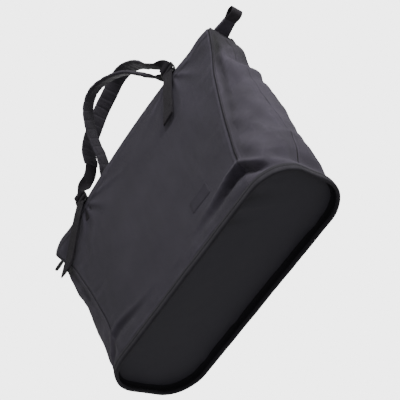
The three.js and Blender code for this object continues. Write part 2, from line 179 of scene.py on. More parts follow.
def run_length(points):
    """Distance travelled at each point of a path."""
    steps = np.linalg.norm(np.diff(points, axis=0), axis=1)
    return np.concatenate([[0], np.cumsum(steps)])


def at_distance(points, distance, where):
    return np.stack([np.interp(where, distance, column) for column in points.T], -1)


def resample(points, count):
    points = np.asarray(points, float)
    distance = run_length(points)
    return at_distance(points, distance, np.linspace(0, distance[-1], count))


def centripetal(points, per):
    """Centripetal Catmull-Rom curve with `per` steps to each span."""
    points = np.array(points, float)
    ends = [2 * points[0] - points[1], 2 * points[-1] - points[-2]]
    guides = np.concatenate([ends[:1], points, ends[1:]])
    u = np.linspace(0, 1, per, endpoint=False)[:, None]
    curve = []
    for p0, p1, p2, p3 in zip(guides, guides[1:], guides[2:], guides[3:]):
        d = [max(((b - a) ** 2).sum() ** 0.25, 1e-4) for a, b in ((p0, p1), (p1, p2), (p2, p3))]
        t1 = ((p1 - p0) / d[0] - (p2 - p0) / (d[0] + d[1]) + (p2 - p1) / d[1]) * d[1]
        t2 = ((p2 - p1) / d[1] - (p3 - p1) / (d[1] + d[2]) + (p3 - p2) / d[2]) * d[1]
        curve.append(p1 + t1 * u + (-3 * p1 + 3 * p2 - 2 * t1 - t2) * u ** 2
                     + (2 * p1 - 2 * p2 + t1 + t2) * u ** 3)
    return np.concatenate(curve + [points[-1:]])


def close_loop(points):
    return np.concatenate([points, points[:1]])


def oval(count, power_a, power_b):
    """Unit oval as two arrays; powers under 1 square it off."""
    turn = np.linspace(0, 2 * math.pi, count, endpoint=False)
    a, b = np.cos(turn), np.sin(turn)
    return np.sign(a) * np.abs(a) ** power_a, np.sign(b) * np.abs(b) ** power_b


def rounded(cx, cy, width, height, radius):
    """Outline of a rectangle with rounded corners."""
    outline = []
    for sx, sy, start in ((1, -1, -90), (1, 1, 0), (-1, 1, 90), (-1, -1, 180)):
        for i in range(7):
            turn = math.radians(start + 90 * i / 6)
            outline.append((cx + sx * (width / 2 - radius) + radius * math.cos(turn),
                            cy + sy * (height / 2 - radius) + radius * math.sin(turn)))
    return outline


# ---- shader nodes ----
WHITE = (1, 1, 1, 1)


def feed(socket, value):
    """Link a node's first output or a socket into an input, or set the input's value."""
    if isinstance(value, bpy.types.Node):
        value = value.outputs[0]
    if isinstance(value, bpy.types.NodeSocket):
        socket.id_data.links.new(value, socket)
    else:
        socket.default_value = value


def node(tree, kind, *inputs, **named):
    """Add a node. Keywords are inputs ("_" for a space) or properties; the rest go in order."""
    made = tree.nodes.new(kind)
    for key, value in named.items():
        label = key.replace("_", " ")
        if label in made.inputs:
            feed(made.inputs[label], value)
        else:
            setattr(made, key, value)
    for socket, value in zip(made.inputs, inputs):
        feed(socket, value)
    return made


def node_adder(owner):
    """Empty a material's or world's tree and return the function that adds nodes to it."""
    owner.use_nodes = True
    owner.node_tree.nodes.clear()
    return partial(node, owner.node_tree)


def mix_colours(add, factor, first, second):
    mix = add("ShaderNodeMix", data_type="RGBA", Factor=factor)
    for socket, value in zip([s for s in mix.inputs if s.type == "RGBA"], (first, second)):
        feed(socket, value)
    return [s for s in mix.outputs if s.type == "RGBA"][0]


def shade(colour, gain, lift=0.0):
    return tuple(min(1, c * gain + lift) for c in colour) + (1,)


def material(name, colour, rough, spec, mottle, scale, light, wear=0.0, weave=0.0, pitch=1.0,
             twill=False, ribs=0.0, grain=0.0, grain_scale=900.0, sheen=0.0, metallic=0.0,
             crumple=0.0):
    """Cloth, coating, plastic or metal.

    mottle, scale, light: strength, fineness and brightness of the paler blotches.
    wear: how far the rubbed places pale. weave, pitch (mm), twill: the threads' relief.
    ribs, grain, crumple: strengths of the other reliefs.
    """
    made = bpy.data.materials.new(name)
    add = node_adder(made)
    math_node = partial(add, "ShaderNodeMath")
    attribute = lambda key: add("ShaderNodeAttribute", attribute_name=key).outputs
    position = add("ShaderNodeTexCoord").outputs["Object"]
    mapped = add("ShaderNodeMapping", Vector=position)
    blotches = add("ShaderNodeTexNoise", Vector=mapped, Scale=scale, Detail=5.0,
                   Roughness=0.58, Distortion=0.3)
    blotch_share = add("ShaderNodeMapRange", Value=blotches, From_Min=0.32, From_Max=0.70,
                       To_Min=0.0, To_Max=mottle)
    tint = mix_colours(add, blotch_share, shade(colour, 0.86), shade(colour, light))
    if wear:
        rubbed = math_node(attribute("wear")["Fac"], wear, operation="MULTIPLY")
        scuffs = add("ShaderNodeTexNoise", Vector=mapped, Scale=scale * 9, Detail=4.0,
                     Roughness=0.6)
        rubbed = math_node(rubbed, scuffs, operation="MULTIPLY")
        tint = mix_colours(add, rubbed, tint, shade(colour, gain=3.2, lift=0.02))
    # painted shade: the seam attribute darkens the colour to a tenth where shade is painted
    tint = mix_colours(add, attribute("seam")["Fac"], tint, shade(colour, 0.10))
    surface = add("ShaderNodeBsdfPrincipled", Metallic=metallic, Roughness=rough,
                  Specular_IOR_Level=spec, Base_Color=tint)
    if sheen:
        feed(surface.inputs["Sheen Weight"], sheen)
        feed(surface.inputs["Sheen Roughness"], 0.45)
    # roughness moves with the blotches
    feed(surface.inputs["Roughness"],
         add("ShaderNodeMapRange", Value=blotches, To_Min=max(0.05, rough - 0.07),
             To_Max=min(1, rough + 0.08)))

    reliefs = []                                  # (height, strength)
    if weave or ribs:
        cloth = add("ShaderNodeSeparateXYZ", attribute("cloth")["Vector"]).outputs

        def sine(socket, pitch_mm):
            angle = math_node(socket, 2 * math.pi / (pitch_mm * MM), 0.0,
                              operation="MULTIPLY_ADD")
            return math_node(angle, operation="SINE")

        if ribs:
            reliefs.append((sine(cloth[0], pitch_mm=2.6), ribs))
        if weave and twill:
            diagonal = math_node(cloth[0], cloth[1], operation="ADD")
            reliefs.append((sine(diagonal.outputs[0], pitch), weave))
        elif weave:
            threads = math_node(sine(cloth[0], pitch), sine(cloth[1], pitch * 1.12),
                                operation="MULTIPLY")
            reliefs.append((threads, weave))
    if grain:
        reliefs.append((add("ShaderNodeTexNoise", Vector=position, Scale=grain_scale,
                            Detail=3.0, Roughness=0.6), grain))
    if crumple:
        drift = add("ShaderNodeTexNoise", Vector=position, Scale=30.0, Detail=3.0)
        moved = add("ShaderNodeVectorMath", drift.outputs["Color"], (0.03, 0.03, 0.03),
                    position, operation="MULTIPLY_ADD")
        cracks = add("ShaderNodeTexVoronoi", Vector=moved, Scale=55.0,
                     feature="DISTANCE_TO_EDGE")
        reliefs.append((add("ShaderNodeMapRange", Value=cracks, From_Max=0.12), crumple))
    heights = [math_node(height, amount, operation="MULTIPLY") for height, amount in reliefs]
    total = reduce(lambda a, b: math_node(a, b, operation="ADD"), heights)
    relief = add("ShaderNodeBump", Strength=0.55, Distance=0.0006, Height=total)
    feed(surface.inputs["Normal"], relief)
    add("ShaderNodeOutputMaterial", surface)
    return made


CANVAS = material("waxed_canvas", (0.0405, 0.0350, 0.0510), rough=0.72, spec=0.32, mottle=0.55,
                  scale=9.0, light=1.35, wear=0.55, weave=0.5, grain=0.35, sheen=0.06,
                  crumple=0.25)
GUSSET = material("waxed_canvas_gusset", (0.0445, 0.0375, 0.0545), rough=0.66, spec=0.36,
                  mottle=0.8, scale=13.0, light=1.6, wear=0.5, weave=0.5, grain=0.35,
                  sheen=0.08, crumple=0.35)
RIM = material("rim_canvas", (0.0190, 0.0168, 0.0235), rough=0.7, spec=0.34, mottle=0.5,
               scale=22.0, light=1.35, wear=0.5, weave=0.45, grain=0.35, sheen=0.05)
BASE = material("coated_base", (0.0350, 0.0330, 0.0440), rough=0.55, spec=0.4, mottle=0.4,
                scale=12.0, light=1.18, weave=0.18, pitch=1.3, grain=0.6, grain_scale=1500,
                wear=0.15)
# painted shade: the base's cloth darkened to about a third for its lip inside the rim
LIP_PAINTED_SHADE = material("rim_inside_painted_shade", (0.0105, 0.0098, 0.0125), rough=0.75, spec=0.15, mottle=0.5,
               scale=26.0, light=1.5, weave=0.4, pitch=1.2, grain=0.3)
# made, but no piece wears it
material("lining", (0.030, 0.029, 0.033), rough=0.8, spec=0.25, mottle=0.4, scale=20.0,
         light=1.3, weave=0.5, pitch=1.4)
SLEEVE = material("handle_canvas", (0.0300, 0.0265, 0.0350), rough=0.72, spec=0.3, mottle=0.6,
                  scale=30.0, light=1.5, wear=0.7, weave=0.5, grain=0.3, sheen=0.06)
WEB = material("webbing", (0.0190, 0.0158, 0.0208), rough=0.82, spec=0.2, mottle=0.5,
               scale=60.0, light=1.4, weave=0.8, pitch=2.2, twill=True, ribs=0.4, sheen=0.06)
# painted light: the webbing at about twice its colour, for the loop at the zip's end
LOOP_PAINTED_LIGHT = material("webbing_loop_painted_light", (0.0400, 0.0350, 0.0430), rough=0.82, spec=0.2, mottle=0.5,
                scale=60.0, light=1.4, weave=0.8, pitch=2.2, twill=True, ribs=0.4, sheen=0.12)
TAPE = material("zip_tape", (0.022, 0.0205, 0.024), rough=0.85, spec=0.2, mottle=0.4,
                scale=60.0, light=1.3, weave=0.7, pitch=1.4, twill=True)
COIL = material("zip_coil", (0.012, 0.012, 0.013), rough=0.42, spec=0.5, mottle=0.3,
                scale=200.0, light=1.4, grain=0.2)
THREAD = material("thread", (0.052, 0.047, 0.056), rough=0.7, spec=0.3, mottle=0.4,
                  scale=300.0, light=1.5, grain=0.6, grain_scale=4000)
PLASTIC = material("buckle_plastic", (0.0085, 0.0085, 0.0095), rough=0.3, spec=0.55,
                   mottle=0.4, scale=120.0, light=1.5, grain=0.35, grain_scale=2500)
METAL = material("zip_metal", (0.03, 0.03, 0.032), rough=0.34, spec=0.5, metallic=0.9,
                 mottle=0.6, scale=160.0, light=2.0, grain=0.3, grain_scale=3000)
BOARD = material("stiffener_board", (0.016, 0.016, 0.017), rough=0.6, spec=0.35, mottle=0.5,
                 scale=40.0, light=1.6, grain=0.8, grain_scale=1100)
FOAM = material("foam", (0.25, 0.25, 0.26), rough=0.95, spec=0.1, mottle=0.5, scale=300.0,
                light=1.2, grain=1.0, grain_scale=1800)
PATCH = material("patch", (0.039, 0.034, 0.048), rough=0.62, spec=0.35, mottle=0.5,
                 scale=70.0, light=1.3, grain=0.8, grain_scale=1300)


# ---- mesh parts ----
def part(points, faces, cloth=None, wear=None, slot=0):
    """One part of an object: cloth holds the weave's coordinates in mm, slot the material.

    wear is rubbed above 0; below 0 it is painted shade.
    """
    points = np.asarray(points, float).reshape(-1, 3)
    count = len(points)
    cloth = np.zeros((count, 2)) if cloth is None else np.asarray(cloth, float).reshape(-1, 2)
    wear = np.zeros(count) if wear is None else np.asarray(wear, float).reshape(-1)
    return points, faces, cloth, wear, slot


def grid_faces(rows, cols, base=0, closed=False):
    faces = []
    for i in range(rows - 1):
        low = base + i * cols
        for j in range(cols if closed else cols - 1):
            k = (j + 1) % cols
            faces.append((low + j, low + k, low + cols + k, low + cols + j))
    return faces


def tube_faces(rings, around, base=0):
    """A tube of rings with its two end caps."""
    last = base + (rings - 1) * around
    return grid_faces(rings, around, base, closed=True) + [
        tuple(base + j for j in reversed(range(around))), tuple(last + j for j in range(around))]


def sheet(outer, inner, cloth, wear=None, slot=0):
    """A cloth of two grids of points joined at their edges."""
    rows, cols = outer.shape[:2]
    n = rows * cols
    faces = grid_faces(rows, cols) + [tuple(reversed(q)) for q in grid_faces(rows, cols, n)]
    for j in range(cols - 1):
        a = (rows - 1) * cols + j
        faces.append((j + 1, j, n + j, n + j + 1))
        faces.append((a, a + 1, n + a + 1, n + a))
    for i in range(rows - 1):
        a = i * cols
        b = a + cols - 1
        faces.append((a, a + cols, n + a + cols, n + a))
        faces.append((b + cols, b, n + b, n + b + cols))
    if wear is not None:
        wear = np.concatenate([wear.reshape(-1), np.zeros(n)])
    points = np.concatenate([outer.reshape(-1, 3), inner.reshape(-1, 3)])
    return part(points, faces, np.concatenate([cloth.reshape(-1, 2)] * 2), wear, slot)


def slab(top, thickness, wear=None):
    """A level cloth, given by its upper surface."""
    return sheet(top, top - np.array([0, 0, thickness]), top[..., :2], wear)


def sweep(rings, cloth=None, wear=None, slot=0, closed=False):
    """rings: (stations, around, 3); capped at both ends, or closed on itself."""
    rings = np.asarray(rings)
    count, around = rings.shape[:2]
    if closed:
        faces = grid_faces(count, around, closed=True)
        last = (count - 1) * around
        for j in range(around):
            k = (j + 1) % around
            faces.append((last + j, last + k, k, j))
    else:
        faces = tube_faces(count, around)
    return part(rings, faces, cloth, wear, slot)


def stitches(line, normal, pitch=3.6, length=2.5, radius=0.36, slot=0):
    """A row of thread stitches along a line; normal is the surface's, one per point or one."""
    line = np.asarray(line, float)
    distance = run_length(line)
    normal = np.broadcast_to(np.asarray(normal, float), line.shape)
    count = max(1, int(distance[-1] / pitch))
    middle = (np.arange(count) + 0.5) * distance[-1] / count
    where = middle[:, None] + length * np.array([-1 / 2, -1 / 5, 1 / 5, 1 / 2])
    points = at_distance(line, distance, where)
    up = unit(at_distance(normal, distance, middle))
    wide = unit(np.cross(unit(points[:, -1] - points[:, 0]), up))
    radii = radius * np.array([0.45, 1, 1, 0.45])[:, None]
    mid_height = 0.15 * radius - 0.03
    heights = np.array([-0.9 * radius, mid_height, mid_height, -0.9 * radius])[:, None]
    turn = 2 * math.pi * np.arange(5) / 5
    rings = (points[:, :, None]
             + up[:, None, None] * (heights + radii * np.sin(turn))[None, ..., None]
             + wide[:, None, None] * (radii * np.cos(turn))[None, ..., None])
    faces = [face for i in range(count) for face in tube_faces(4, 5, base=20 * i)]
    return part(rings, faces, slot=slot)


def block(x0, x1, y0, y1, z0, z1):
    points = np.array([[x, y, z] for z in (z0, z1) for y in (y0, y1) for x in (x0, x1)], float)
    faces = [(0, 2, 3, 1), (4, 5, 7, 6), (0, 1, 5, 4), (2, 6, 7, 3), (0, 4, 6, 2), (1, 3, 7, 5)]
    return part(points, faces, points[:, :2])


def extrude(outline, start, end, axis=2):
    """A closed outline given in two axes, thickened along the third."""
    outline = np.asarray(outline, float)
    n = len(outline)
    flat = [i for i in range(3) if i != axis]
    points = np.zeros((2 * n, 3))
    points[:, flat] = np.concatenate([outline] * 2)
    points[:n, axis], points[n:, axis] = start, end
    faces = [tuple(range(n)), tuple(reversed(range(n, 2 * n)))]
    faces += [(i, n + i, n + (i + 1) % n, (i + 1) % n) for i in range(n)]
    return part(points, faces, points[:, flat])


def washer(outer, inner, z0, z1):
    """A plate with one hole; the two outlines have the same number of points."""
    n = len(outer)
    loops = ((outer, z0), (inner, z0), (inner, z1), (outer, z1))
    points = np.concatenate([np.c_[np.array(loop), np.full(n, z)] for loop, z in loops])
    faces = []
    for i in range(n):
        j = (i + 1) % n
        for a in range(4):
            b = (a + 1) % 4
            faces.append((a * n + i, a * n + j, b * n + j, b * n + i))
    return part(points, faces, points[:, :2])


# ---- objects ----
def add_object(name, data):
    made = bpy.data.objects.new(name, data)
    scene.collection.objects.link(made)
    return made


def build(name, parts, materials, sharp):
    """One object from its parts; edges over `sharp` degrees stay sharp."""
    points, faces, cloth, wear, slots = [], [], [], [], []
    base = 0
    for part_points, part_faces, part_cloth, part_wear, slot in parts:
        points.append(part_points)
        faces.extend([tuple(i + base for i in face) for face in part_faces])
        cloth.append(part_cloth)
        wear.append(part_wear)
        slots.extend([slot] * len(part_faces))
        base += len(part_points)
    mesh = bpy.data.meshes.new(name)
    mesh.from_pydata((np.concatenate(points) * MM).tolist(), [], faces)
    mesh.polygons.foreach_set("material_index", np.array(slots, np.int32))
    mesh.polygons.foreach_set("use_smooth", np.ones(len(faces), bool))
    bm = bmesh.new()
    bm.from_mesh(mesh)
    bmesh.ops.recalc_face_normals(bm, faces=bm.faces)
    bm.to_mesh(mesh)
    bm.free()
    wear = np.concatenate(wear)
    cloth = np.concatenate([np.concatenate(cloth) * MM, np.zeros((base, 1))], 1)
    # the seam attribute carries the painted shade, the wear below 0
    for key, kind, field, values in (("cloth", "FLOAT_VECTOR", "vector", cloth.ravel()),
                                     ("wear", "FLOAT", "value", limit(wear)),
                                     ("seam", "FLOAT", "value", limit(-wear))):
        attribute = mesh.attributes.new(key, kind, "POINT")
        attribute.data.foreach_set(field, values.astype(np.float32))
    mesh.set_sharp_from_angle(angle=math.radians(sharp))
    mesh.update()
    made = add_object(name, mesh)
    for item in materials:
        mesh.materials.append(item)
    return made


def bevel_edges(made, width):
    modifier = made.modifiers.new("bevel", "BEVEL")
    modifier.width = width * MM
    modifier.segments = 3
    modifier.limit_method = "ANGLE"
    modifier.angle_limit = math.radians(30)
    modifier.harden_normals = False
    bpy.context.view_layer.objects.active = made
    for other in scene.objects:
        other.select_set(False)
    made.select_set(True)
    bpy.ops.object.modifier_apply(modifier=modifier.name)
    made.data.polygons.foreach_set("use_smooth", np.ones(len(made.data.polygons), bool))
    made.data.set_sharp_from_angle(angle=math.radians(40))


# ---- large soft shape shared by every wall panel, so that the seams stay closed ----
# how deep each lower corner is dented, by the signs of x and y
DENTS = {(1, -1): 1.0, (-1, -1): 0.35, (1, 1): 0.55, (-1, 1): 0.6}


def perimeter(x, y, z):
    """Distance along the shell from where the nearest corner starts on the long wall,
    positive round the corner, and the outward normal."""
    z = np.clip(z, 0, 420)
    radius = np.maximum(corner(z), 0.6)
    centre_x, centre_y = half_length(z) - radius, np.maximum(half_depth(z) - radius, 0)
    past_x = np.maximum(np.abs(x) - centre_x, 0)
    past_y = np.maximum(np.abs(y) - centre_y, 0)
    on_long, on_end = past_x <= 0, past_y <= 0
    turn = np.arctan2(past_x, np.maximum(past_y, 1e-6))
    along = np.where(on_long, np.abs(x) - centre_x,
                     np.where(on_end, radius * math.pi / 2 + (centre_y - np.abs(y)),
                              radius * turn))
    reach = np.hypot(past_x, past_y) + 1e-9
    normal_x = np.where(on_long, 0, past_x / reach)
    normal_y = np.where(on_long, 1.0, past_y / reach)
    side = np.where(np.sign(y) == 0, 1, np.sign(y))
    return along, columns(np.sign(x) * normal_x, side * normal_y, 0.0)


def dent_line(along):
    """Height and depth of the corner dents at a distance from perimeter()."""
    height = np.interp(along, [-120, -90, -66, -43, -25, -8, 4, 14, 26, 38, 52],
                       [46, 49, 53, 58, 60, 56, 46, 36, 27, 22, 18])
    depth = np.interp(along, [-135, -100, -66, -38, -12, 6, 22, 38, 56],
                      [0, 2.0, 6.5, 10.0, 10.5, 8.5, 6.0, 3.0, 0])
    return height, depth


def dent_width(z, line_z, along):
    return np.where(z > line_z, 6.5, 12.0 - 4.5 * rise(-5, 25, along))


def dent_strength(x, y):
    strength = np.zeros(np.shape(x))
    for (sx, sy), value in DENTS.items():
        strength = np.where((np.sign(x) == sx) & (np.sign(y) == sy), value, strength)
    return strength


def ridge_wear_and_dent_shade(points, z):
    """Rubbed paler along the crease above each corner dent, and painted shade down in it."""
    along = perimeter(points[..., 0], points[..., 1], z)[0]
    line_z, depth = dent_line(along)
    # painted shade down in each dent's valley, full at the front right and 0.4 elsewhere
    painted_dent_shade = 0.30 * (depth / 9.5) * bump(line_z - 1.5, 8.5, z) * fall(4, 40, along)
    front_right = (points[..., 0] > 0) & (points[..., 1] < 0)
    return (0.5 * (depth / 9.5) * bump(line_z + 11.5, 2.4, z)
            - np.where(front_right, 1.0, 0.4) * painted_dent_shade)


def settle(points):
    """Move points of the nominal shell to the sagged shell."""
    x, y, z = points[..., 0], points[..., 1], points[..., 2]
    sx, sy = np.sign(x), np.sign(y)
    ax = np.abs(x)
    q = points.copy()
    across = np.clip(y / half_depth(np.clip(z, 0, 400)), -1.1, 1.1)
    sway = np.sin(np.clip(across * 1.5, -1, 1) * math.pi / 2)
    # the end walls lean in a little above the rim, and half way up
    lean = np.where(sx > 0, 2.6, 6.5) * bump(225, 105, z) * limit(1 - across * across)
    q[..., 0] -= sx * rise(120, 225, ax) * (
        2.6 * bump(30, 16, z) * (1 - 0.4 * across * across) + lean)
    # a dent at each lower corner, with a cloth roll above it
    along, normal = perimeter(x, y, z)
    line_z, depth = dent_line(along)
    dent = (-1.25 * depth * bump(line_z, dent_width(z, line_z, along), z)
            + 0.42 * depth * bump(line_z + 12.5, 5.5, z))
    q += (dent * rise(9, 22, z) * dent_strength(x, y))[..., None] * normal
    # the long walls: a shallow belly that leans in
    belly = fall(150, 235, ax) * rise(18, 120, z) * fall(330, 410, z)
    waves = np.sin(x / 74.0 + 0.8 + sy * 0.7) * np.sin(z / 95.0 + 0.4)
    q[..., 1] -= sy * belly * (1.6 + 1.8 * waves)
    # seams wander a little
    q[..., 0] += sx * 0.9 * np.sin(z / 31.0 + 1.3 * sway) * rise(90, 130, z) * fall(340, 380, z)
    # slack between the top corners and the strap anchors
    q[..., 1] -= sway * 2.6 * bump(212, 34, ax) * bump(352, 60, z)
    # the top edge lifts before each corner, and the left corners drop
    drop = np.where(sx < 0, 4.0, 0.0) * rise(236, 262, ax)
    q[..., 2] += (4.8 * bump(233, 24, ax) - drop) * rise(320, 384, z)
    q[..., 1] += sway * 3.0 * bump(248, 26, ax) * bump(366, 30, z) * np.where(sx < 0, 2.0, 0.6)
    return q


# ---- how a piece folds: 0 on the back wall, 1 on the front wall, even in between ----
def wall_fold(points):
    """Cloth pressed in at a corner dent still goes with its own wall, so the seam stays shut."""
    x, y, z = points.T
    depth = np.maximum(half_depth(np.clip(z, 0, 420)) - 0.4, 5)
    along = perimeter(x, y, z)[0]
    line_z, dent = dent_line(along)
    dent = dent * bump(line_z, 1.2 * dent_width(z, line_z, along), z) * dent_strength(x, y)
    pressed = (1.4 * dent + 1.5) * rise(9, 22, z)
    return 0.5 - 0.5 * np.clip(y / np.maximum(depth - pressed, 5), -1, 1)


def zip_fold(points):
    """The strips beside the zip turn between their inner and outer edges."""
    inner, outer = 5.2, 23.4
    y = points[:, 1]
    return 0.5 + 0.5 * np.sign(-y) * limit((np.abs(y) - inner) / (outer - inner))


def set_fold(made, fold):
    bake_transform(made)
    points = np.zeros(len(made.data.vertices) * 3, np.float32)
    made.data.vertices.foreach_get("co", points)
    share = fold(points.reshape(-1, 3) / MM)


def piece(name, parts, materials, slot, *replaced, body=None, fold=wall_fold, sharp=50.0,
          bevel=None):
    """Build an object that rides on a body; with none given, its fold share is worked out but not
    stored.
    """
    made = build(name, parts, materials, sharp)
    if bevel:
        bevel_edges(made, bevel)
    if body:
        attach(made, body)
    else:
        set_fold(made, fold)
    if replaced:
        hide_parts(*replaced)


# ---- front and back walls ----
HEM = 16.6      # the top hem's stitch line, below the edge


def wall_detail(x, z, side):
    """Outward offset of the cloth on a long wall."""
    offset = (1.15 * noise(x / 62.0, z / 70.0, 3.3 * side, 4)
              + 0.55 * noise(x / 26.0, z / 44.0, 1.7 * side, 9))
    # pulls that fan out from the strap anchors
    for sx in (-1, 1):
        dx, dz = x - sx * STRAP_X, 404 - z
        reach = np.hypot(dx, dz) + 1e-6
        turn = np.arctan2(dx, np.maximum(dz, 1e-3))
        fan = np.cos(turn * 11 + 0.6 * sx + noise(turn * 3, reach / 60.0, side, 12) * 1.6)
        offset += (1.7 * fan * np.exp(-reach / 95.0) * rise(8, 34, reach)
                   * fall(1.1, 1.45, np.abs(turn)))
        offset -= 1.6 * bump(0, 17, dx) * np.exp(-np.maximum(dz, 0) / 30.0)
    # long soft folds falling from the top edge
    offset += (0.48 * np.sin(x / 17.0 + 2.2 * noise(x / 90.0, z / 160.0, 0.4, 5))
               * rise(120, 330, z) * fall(360, 395, z))
    # puckers along the side seams
    seam = np.maximum(seam_x(z), 1)
    offset += (1.1 * noise(z / 15.0, np.sign(x) * 2.0, side, 21)
               * np.exp(-np.maximum(seam - np.abs(x), 0) / 20.0))
    # drag lines just above the rim, and the tuck behind it
    offset += 1.0 * noise(x / 21.0, z / 30.0, 5.0 * side, 31) * bump(32, 17, z)
    offset -= 1.0 * bump(13.5, 3.2, z)
    below = top_edge(np.clip(x / seam, -1, 1)) - z
    offset = offset * fall(0.93, 1.0, np.abs(x) / seam) * rise(3, 22, z) * rise(-2, 26, below)
    # turned hem at the top: a second layer down to its stitch line
    return (offset + 0.75 * fall(17.2, 18.6, below) - 0.45 * bump(HEM, 1.1, below)
            + 0.18 * np.sin(x / 3.1) * bump(HEM, 2.6, below))


def wall_point(x, z, side, lift=0.0):
    """Outer surface of a long wall."""
    x, z = np.broadcast_arrays(np.asarray(x, float), np.asarray(z, float))
    shell = settle(columns(x, side * half_depth(z), z))
    return shell + (wall_detail(x, z, side) + lift)[..., None] * shell_normal(side)


def crease_wear(offset):
    """Lighter where a surface crests."""
    crest = np.zeros_like(offset)
    crest[1:-1, 1:-1] = (offset[1:-1, 1:-1] * 4 - offset[:-2, 1:-1] - offset[2:, 1:-1]
                         - offset[1:-1, :-2] - offset[1:-1, 2:])
    return limit(crest * 1.6)


def paint_seam_shade(wear, seam, foot, z):
    """Paint shade into a panel along its turned seam edge and where it meets the rim."""
    wear = np.where(seam < 2.4, -0.95 * foot * fall(1.2, 2.4, seam), wear)
    return wear - 0.8 * bump(13.6, 1.6, z)


def wall_cloth(side):
    u, share = np.meshgrid(np.linspace(-1, 1, 176), np.linspace(0, 1, 118))
    z = FOOT_Z + (top_edge(u) - FOOT_Z) * share
    x = u * (seam_x(z) - 0.35 * rise(64, 78, z))
    detail = wall_detail(x, z, side)
    normal = shell_normal(side)
    # a rolled edge at the top and along the seams
    below = top_edge(u) - z
    seam = seam_x(z) - np.abs(x)
    foot = rise(64, 78, z) * np.where(x < 0, 0.45, 1.0)
    roll = 1.1 * np.exp(-below / 0.9) + foot * (
        2.3 * np.exp(-np.maximum(seam, 0) / 1.7) - 0.7 * bump(4.4, 2.2, seam))
    outer = wall_point(x, z, side) - roll[..., None] * normal
    inner = settle(columns(x, side * (half_depth(z) - WALL), z))
    inner = inner + (detail * 0.9 - 0.75 * fall(17.2, 18.6, below))[..., None] * normal
    # creases, top edge, fine streaks, rubbed patches, seam edge, the rubbed dent ridges and the
    # painted shade in the dents
    wear = (crease_wear(detail) * 0.8 + 0.75 * np.exp(-below / 2.0)
            + 0.10 * limit(noise(x / 7.0, z / 60.0, side, 77))
            + 0.30 * limit(noise(x / 34.0, z / 30.0, side, 78))
            * limit(ridged(x / 18.0 + z / 60.0, z / 26.0, side, 79)) ** 5
            + 0.9 * foot * bump(3.6, 1.5, seam) + ridge_wear_and_dent_shade(outer, z))
    # painted shade: darker towards the left, and low down right of the middle
    wear = (wear - 0.24 * rise(60, 190, -x) * rise(40, 110, z)
            - 0.22 * rise(20, 110, x) * fall(34, 90, z))
    # painted shade in the seam gaps, where the wall meets the rim, and along the hem's stitch
    # groove
    wear = paint_seam_shade(wear, seam, foot, z) - 0.5 * bump(HEM, 0.9, below)
    return sheet(outer, inner, columns(x, z), wear)


def wall_stitching(side):
    normal = shell_normal(side)
    u = np.linspace(-0.985, 0.985, 300)
    z = top_edge(u) - HEM
    hem = wall_point(u * (seam_x(z) - 0.35), z, side, 0.1)
    parts = [stitches(hem, normal, pitch=4.2, length=2.9, radius=0.34)]
    z = np.linspace(86, 374, 200)
    for sx in (-1, 1):
        seam = wall_point(sx * (seam_x(z) - 3.2), z, side, 0.12)
        parts.append(stitches(seam, normal, pitch=4.2, length=2.9, radius=0.32))
    # box and cross where each strap is sewn through the wall
    for sx in (-1, 1):
        left, right, low, high = sx * STRAP_X - 10.5, sx * STRAP_X + 10.5, 366, 386
        corners = [(left, low), (right, low), (right, high), (left, high)]
        for a, b in ((0, 1), (1, 2), (2, 3), (3, 0), (0, 2), (1, 3)):
            x, z = np.linspace(corners[a], corners[b], 12).T
            parts.append(stitches(wall_point(x, z, side, 0.15), normal, pitch=3.3, length=2.4))
    return parts


for name, side in (("front", -1), ("back", 1)):
    piece(name + "_wall_cloth", [wall_cloth(side)], [CANVAS], "canvas", name + "_panel",
          body=name + "_wall")
    piece(name + "_wall_stitching", wall_stitching(side), [THREAD], "canvas",
          body=name + "_wall")


# ---- end walls (gussets): s runs 0..1 from the front seam round the end to the back seam ----
# diagonal folds: height, tilt, offset, width
END_FOLDS = ((322, 0.5, 2.8, 15), (292, -0.4, -3.6, 17), (262, 0.35, 5.0, 14),
             (240, 0.5, -4.2, 11), (168, 0.18, 1.4, 14), (112, -0.12, -1.6, 18),
             (92, 0.2, 1.6, 9))


def gusset_spans(z):
    """Lengths across an end: a corner's arc, the flat, and the strip on each long wall."""
    radius = np.maximum(corner(z), 0.6)
    return radius * math.pi / 2, 2 * (half_depth(z) - radius), seam_inset(z)


def gusset_width(z):
    arc, flat, strip = gusset_spans(z)
    return 2 * arc + flat + 2 * strip


def gusset_shell(z, s, sx):
    """Point and outward normal on the end of the nominal shell."""
    radius = np.maximum(corner(z), 0.6)
    core_y = half_depth(z) - radius
    arc, flat, strip = gusset_spans(z)
    width = gusset_width(z)
    on_wall = np.maximum(strip - s * width, 0) + np.maximum(s * width - width + strip, 0)
    along = s * width - strip
    front, back = along < arc, along > arc + flat
    turn = np.where(front, limit(along / arc) * math.pi / 2 - math.pi / 2,
                    np.where(back, limit((along - arc - flat) / arc) * math.pi / 2, 0.0))
    bend = radius * np.sin(turn)
    y = np.where(front, -core_y + bend, np.where(back, core_y + bend, along - arc - core_y))
    x = half_length(z) - radius + radius * np.cos(turn) - on_wall
    return columns(sx * x, y, z), columns(sx * np.cos(turn), np.sin(turn), 0.0)


def fold_line(z, s, sx):
    """Distance from the end wall's fold line, and how strongly the line shows at that height."""
    width, strip = gusset_width(z), seam_inset(z)
    wander = 0.9 * noise(z / 26.0, 0, sx, 61)
    place = (0.455 - 0.045 * rise(80, 200, z)) * (width - 2 * strip)
    strength = rise(20, 34, z) * (1 - 0.55 * rise(165, 225, z) + 0.4 * rise(310, 350, z))
    return s * width - strip - place + wander, strength * (1.0 if sx > 0 else 0.7)


